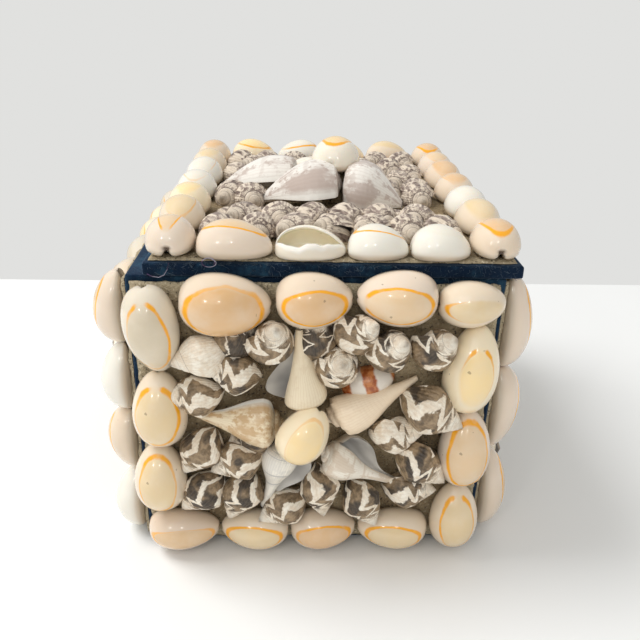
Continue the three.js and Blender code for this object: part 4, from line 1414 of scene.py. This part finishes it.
def clear_of(petal, u, v):
    """How far a point is from a petal's length, less the petal's own half width there."""
    cos, sin = heading_of(petal["turn"])
    along = (u - petal["u"]) * cos + (v - petal["v"]) * sin
    share = min(1.0, max(0.0, along / petal["length"]))
    near_u = petal["u"] + share * petal["length"] * cos
    near_v = petal["v"] + share * petal["length"] * sin
    return math.hypot(u - near_u, v - near_v) - petal["width"] / 2 * (1.1 - share)


lid_lines = field(
    inner_u - clearance - lid_shell_width / 2,
    -inner_v + lid_shell_width / 2,
    inner_v - lid_shell_width / 2,
    lid_pitch_across,
    lid_pitch_up,
    270.0,
    16.0,
    lambda u, v: math.hypot(u - lid_flower[0], v - lid_flower[1]) < post_radius + lid_shell_width / 2
    or any(clear_of(petal, u, v) < 0.3 * lid_shell_width for petal in lid_petal_spots),
)
lid_lines.append([{"u": u, "v": v, "turn": turn, "lean": 14.0} for u, v, turn in lid_strays])
for number, line in enumerate(lid_lines):
    deeper = lid_deeper_by_conch if number == 2 else lid_deeper
    for half, part in enumerate((line[: len(line) // 2], line[len(line) // 2 :])):
        for spot in part:
            from_tip = math.hypot(spot["u"] - conch_tip[0], spot["v"] - conch_tip[1])
            under_tip = from_tip < 0.75 * lid_shell_length
            spot["deeper"] = lid_deeper_by_conch if under_tip else deeper
        shells = [
            snail({**spot, "length": lid_shell_length, "width": lid_shell_width}, lid_bed_thick,
                  300 + 20 * number + 7 * half + index, 24.0, 0.9, spiral_profile)
            for index, spot in enumerate(part)
        ]
        if shells:
            gathered(f"lid_snails_{number}_{half}", shells, top_place, "lid_bed")

# Table. The box stands on a plain white table, whose far edge shows behind it against a pale wall.
table_far = 0.150
table_wide = 2.4
table_deep = 2.0

white_top, brush, shader, where = surface("white_table", 0.55)
soft = brush.step(brush.grain(where, 3.0, 2.0), 0.3, 0.7)
brush.paint(shader, soft, (0.86, 0.865, 0.86), (0.885, 0.89, 0.885))
form = bmesh.new()
middle = Matrix.Translation((0.0, table_far - table_deep / 2, -0.015))
bmesh.ops.create_cube(form, size=1.0, matrix=middle @ Matrix.Diagonal((table_wide, table_deep, 0.03, 1.0)))
bmesh.ops.bevel(form, geom=form.edges[:], offset=0.006, segments=6, affect="EDGES", profile=0.5)
table_mesh = bpy.data.meshes.new("table")
form.to_mesh(table_mesh)
form.free()
table_mesh.shade_smooth()
table_mesh.materials.append(white_top)
table = bpy.data.objects.new("table", table_mesh)
bpy.context.scene.collection.objects.link(table)
table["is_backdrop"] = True

# Light. A wide soft light stands to the left and behind, a broad fill in front, and two small lamps
# near the camera put a pair of bright points on each glossy shell. The pale room lights the rest.
world = bpy.data.worlds.new("pale_room")
world.use_nodes = True
world.node_tree.nodes["Background"].inputs["Color"].default_value = (0.80, 0.80, 0.785, 1.0)
brush = Brush(world.node_tree)
seen = brush.node("ShaderNodeLightPath").outputs["Is Camera Ray"]
brush.feed(world.node_tree.nodes["Background"].inputs["Strength"], brush.scaled(seen, 0.17, 0.77))
bpy.context.scene.world = world


def lamp(name, spot, size, power, colour=(1.0, 1.0, 1.0), target=(0.0, 0.0, 0.045), shines=True):
    """A square area light at a spot, turned to the box."""
    light = bpy.data.lights.new(name, "AREA")
    light.size = size
    light.energy = power
    light.color = colour
    thing = bpy.data.objects.new(name, light)
    thing.location = spot
    thing.visible_glossy = shines
    thing.rotation_euler = (Vector(target) - Vector(spot)).to_track_quat("-Z", "Y").to_euler()
    bpy.context.scene.collection.objects.link(thing)


lamp("window", (-0.95, 0.18, 1.30), 0.8, 18.5, shines=False)
lamp("front_fill", (-0.25, -0.80, 0.75), 0.7, 1.1)
lamp("lamp_left", (-0.36, -0.62, 0.44), 0.035, 0.27, (1.0, 0.97, 0.92))
lamp("lamp_right", (0.03, -0.66, 0.46), 0.015, 0.16, (1.0, 0.97, 0.92))

# Camera. It stands where the photograph was taken from, a hand's length above the lid and in front.
focal = 38.77
level_cos, down = heading_of(24.77)
yaw_cos, yaw_sin = heading_of(-2.31)
roll_cos, roll_sin = heading_of(1.37)
eye = Vector((-0.0055, -0.2188, 0.1444))
right = Vector((yaw_cos, yaw_sin, 0.0))
ahead = Vector((-yaw_sin * level_cos, yaw_cos * level_cos, -down))
level = right.cross(ahead)
camera_data = bpy.data.cameras.new("camera")
camera_data.lens = focal
camera_data.sensor_width = 36.0
camera_data.clip_start = 0.01
camera = bpy.data.objects.new("camera", camera_data)
turned = Matrix.Identity(4)
turned.col[0][:3] = right * roll_cos + level * roll_sin
turned.col[1][:3] = level * roll_cos - right * roll_sin
turned.col[2][:3] = -ahead
turned.col[3][:3] = eye
camera.matrix_world = turned
bpy.context.scene.collection.objects.link(camera)
bpy.context.scene.camera = camera
bpy.context.scene.view_settings.view_transform = "Standard"
bpy.context.scene.view_settings.look = "None"

low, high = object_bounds()
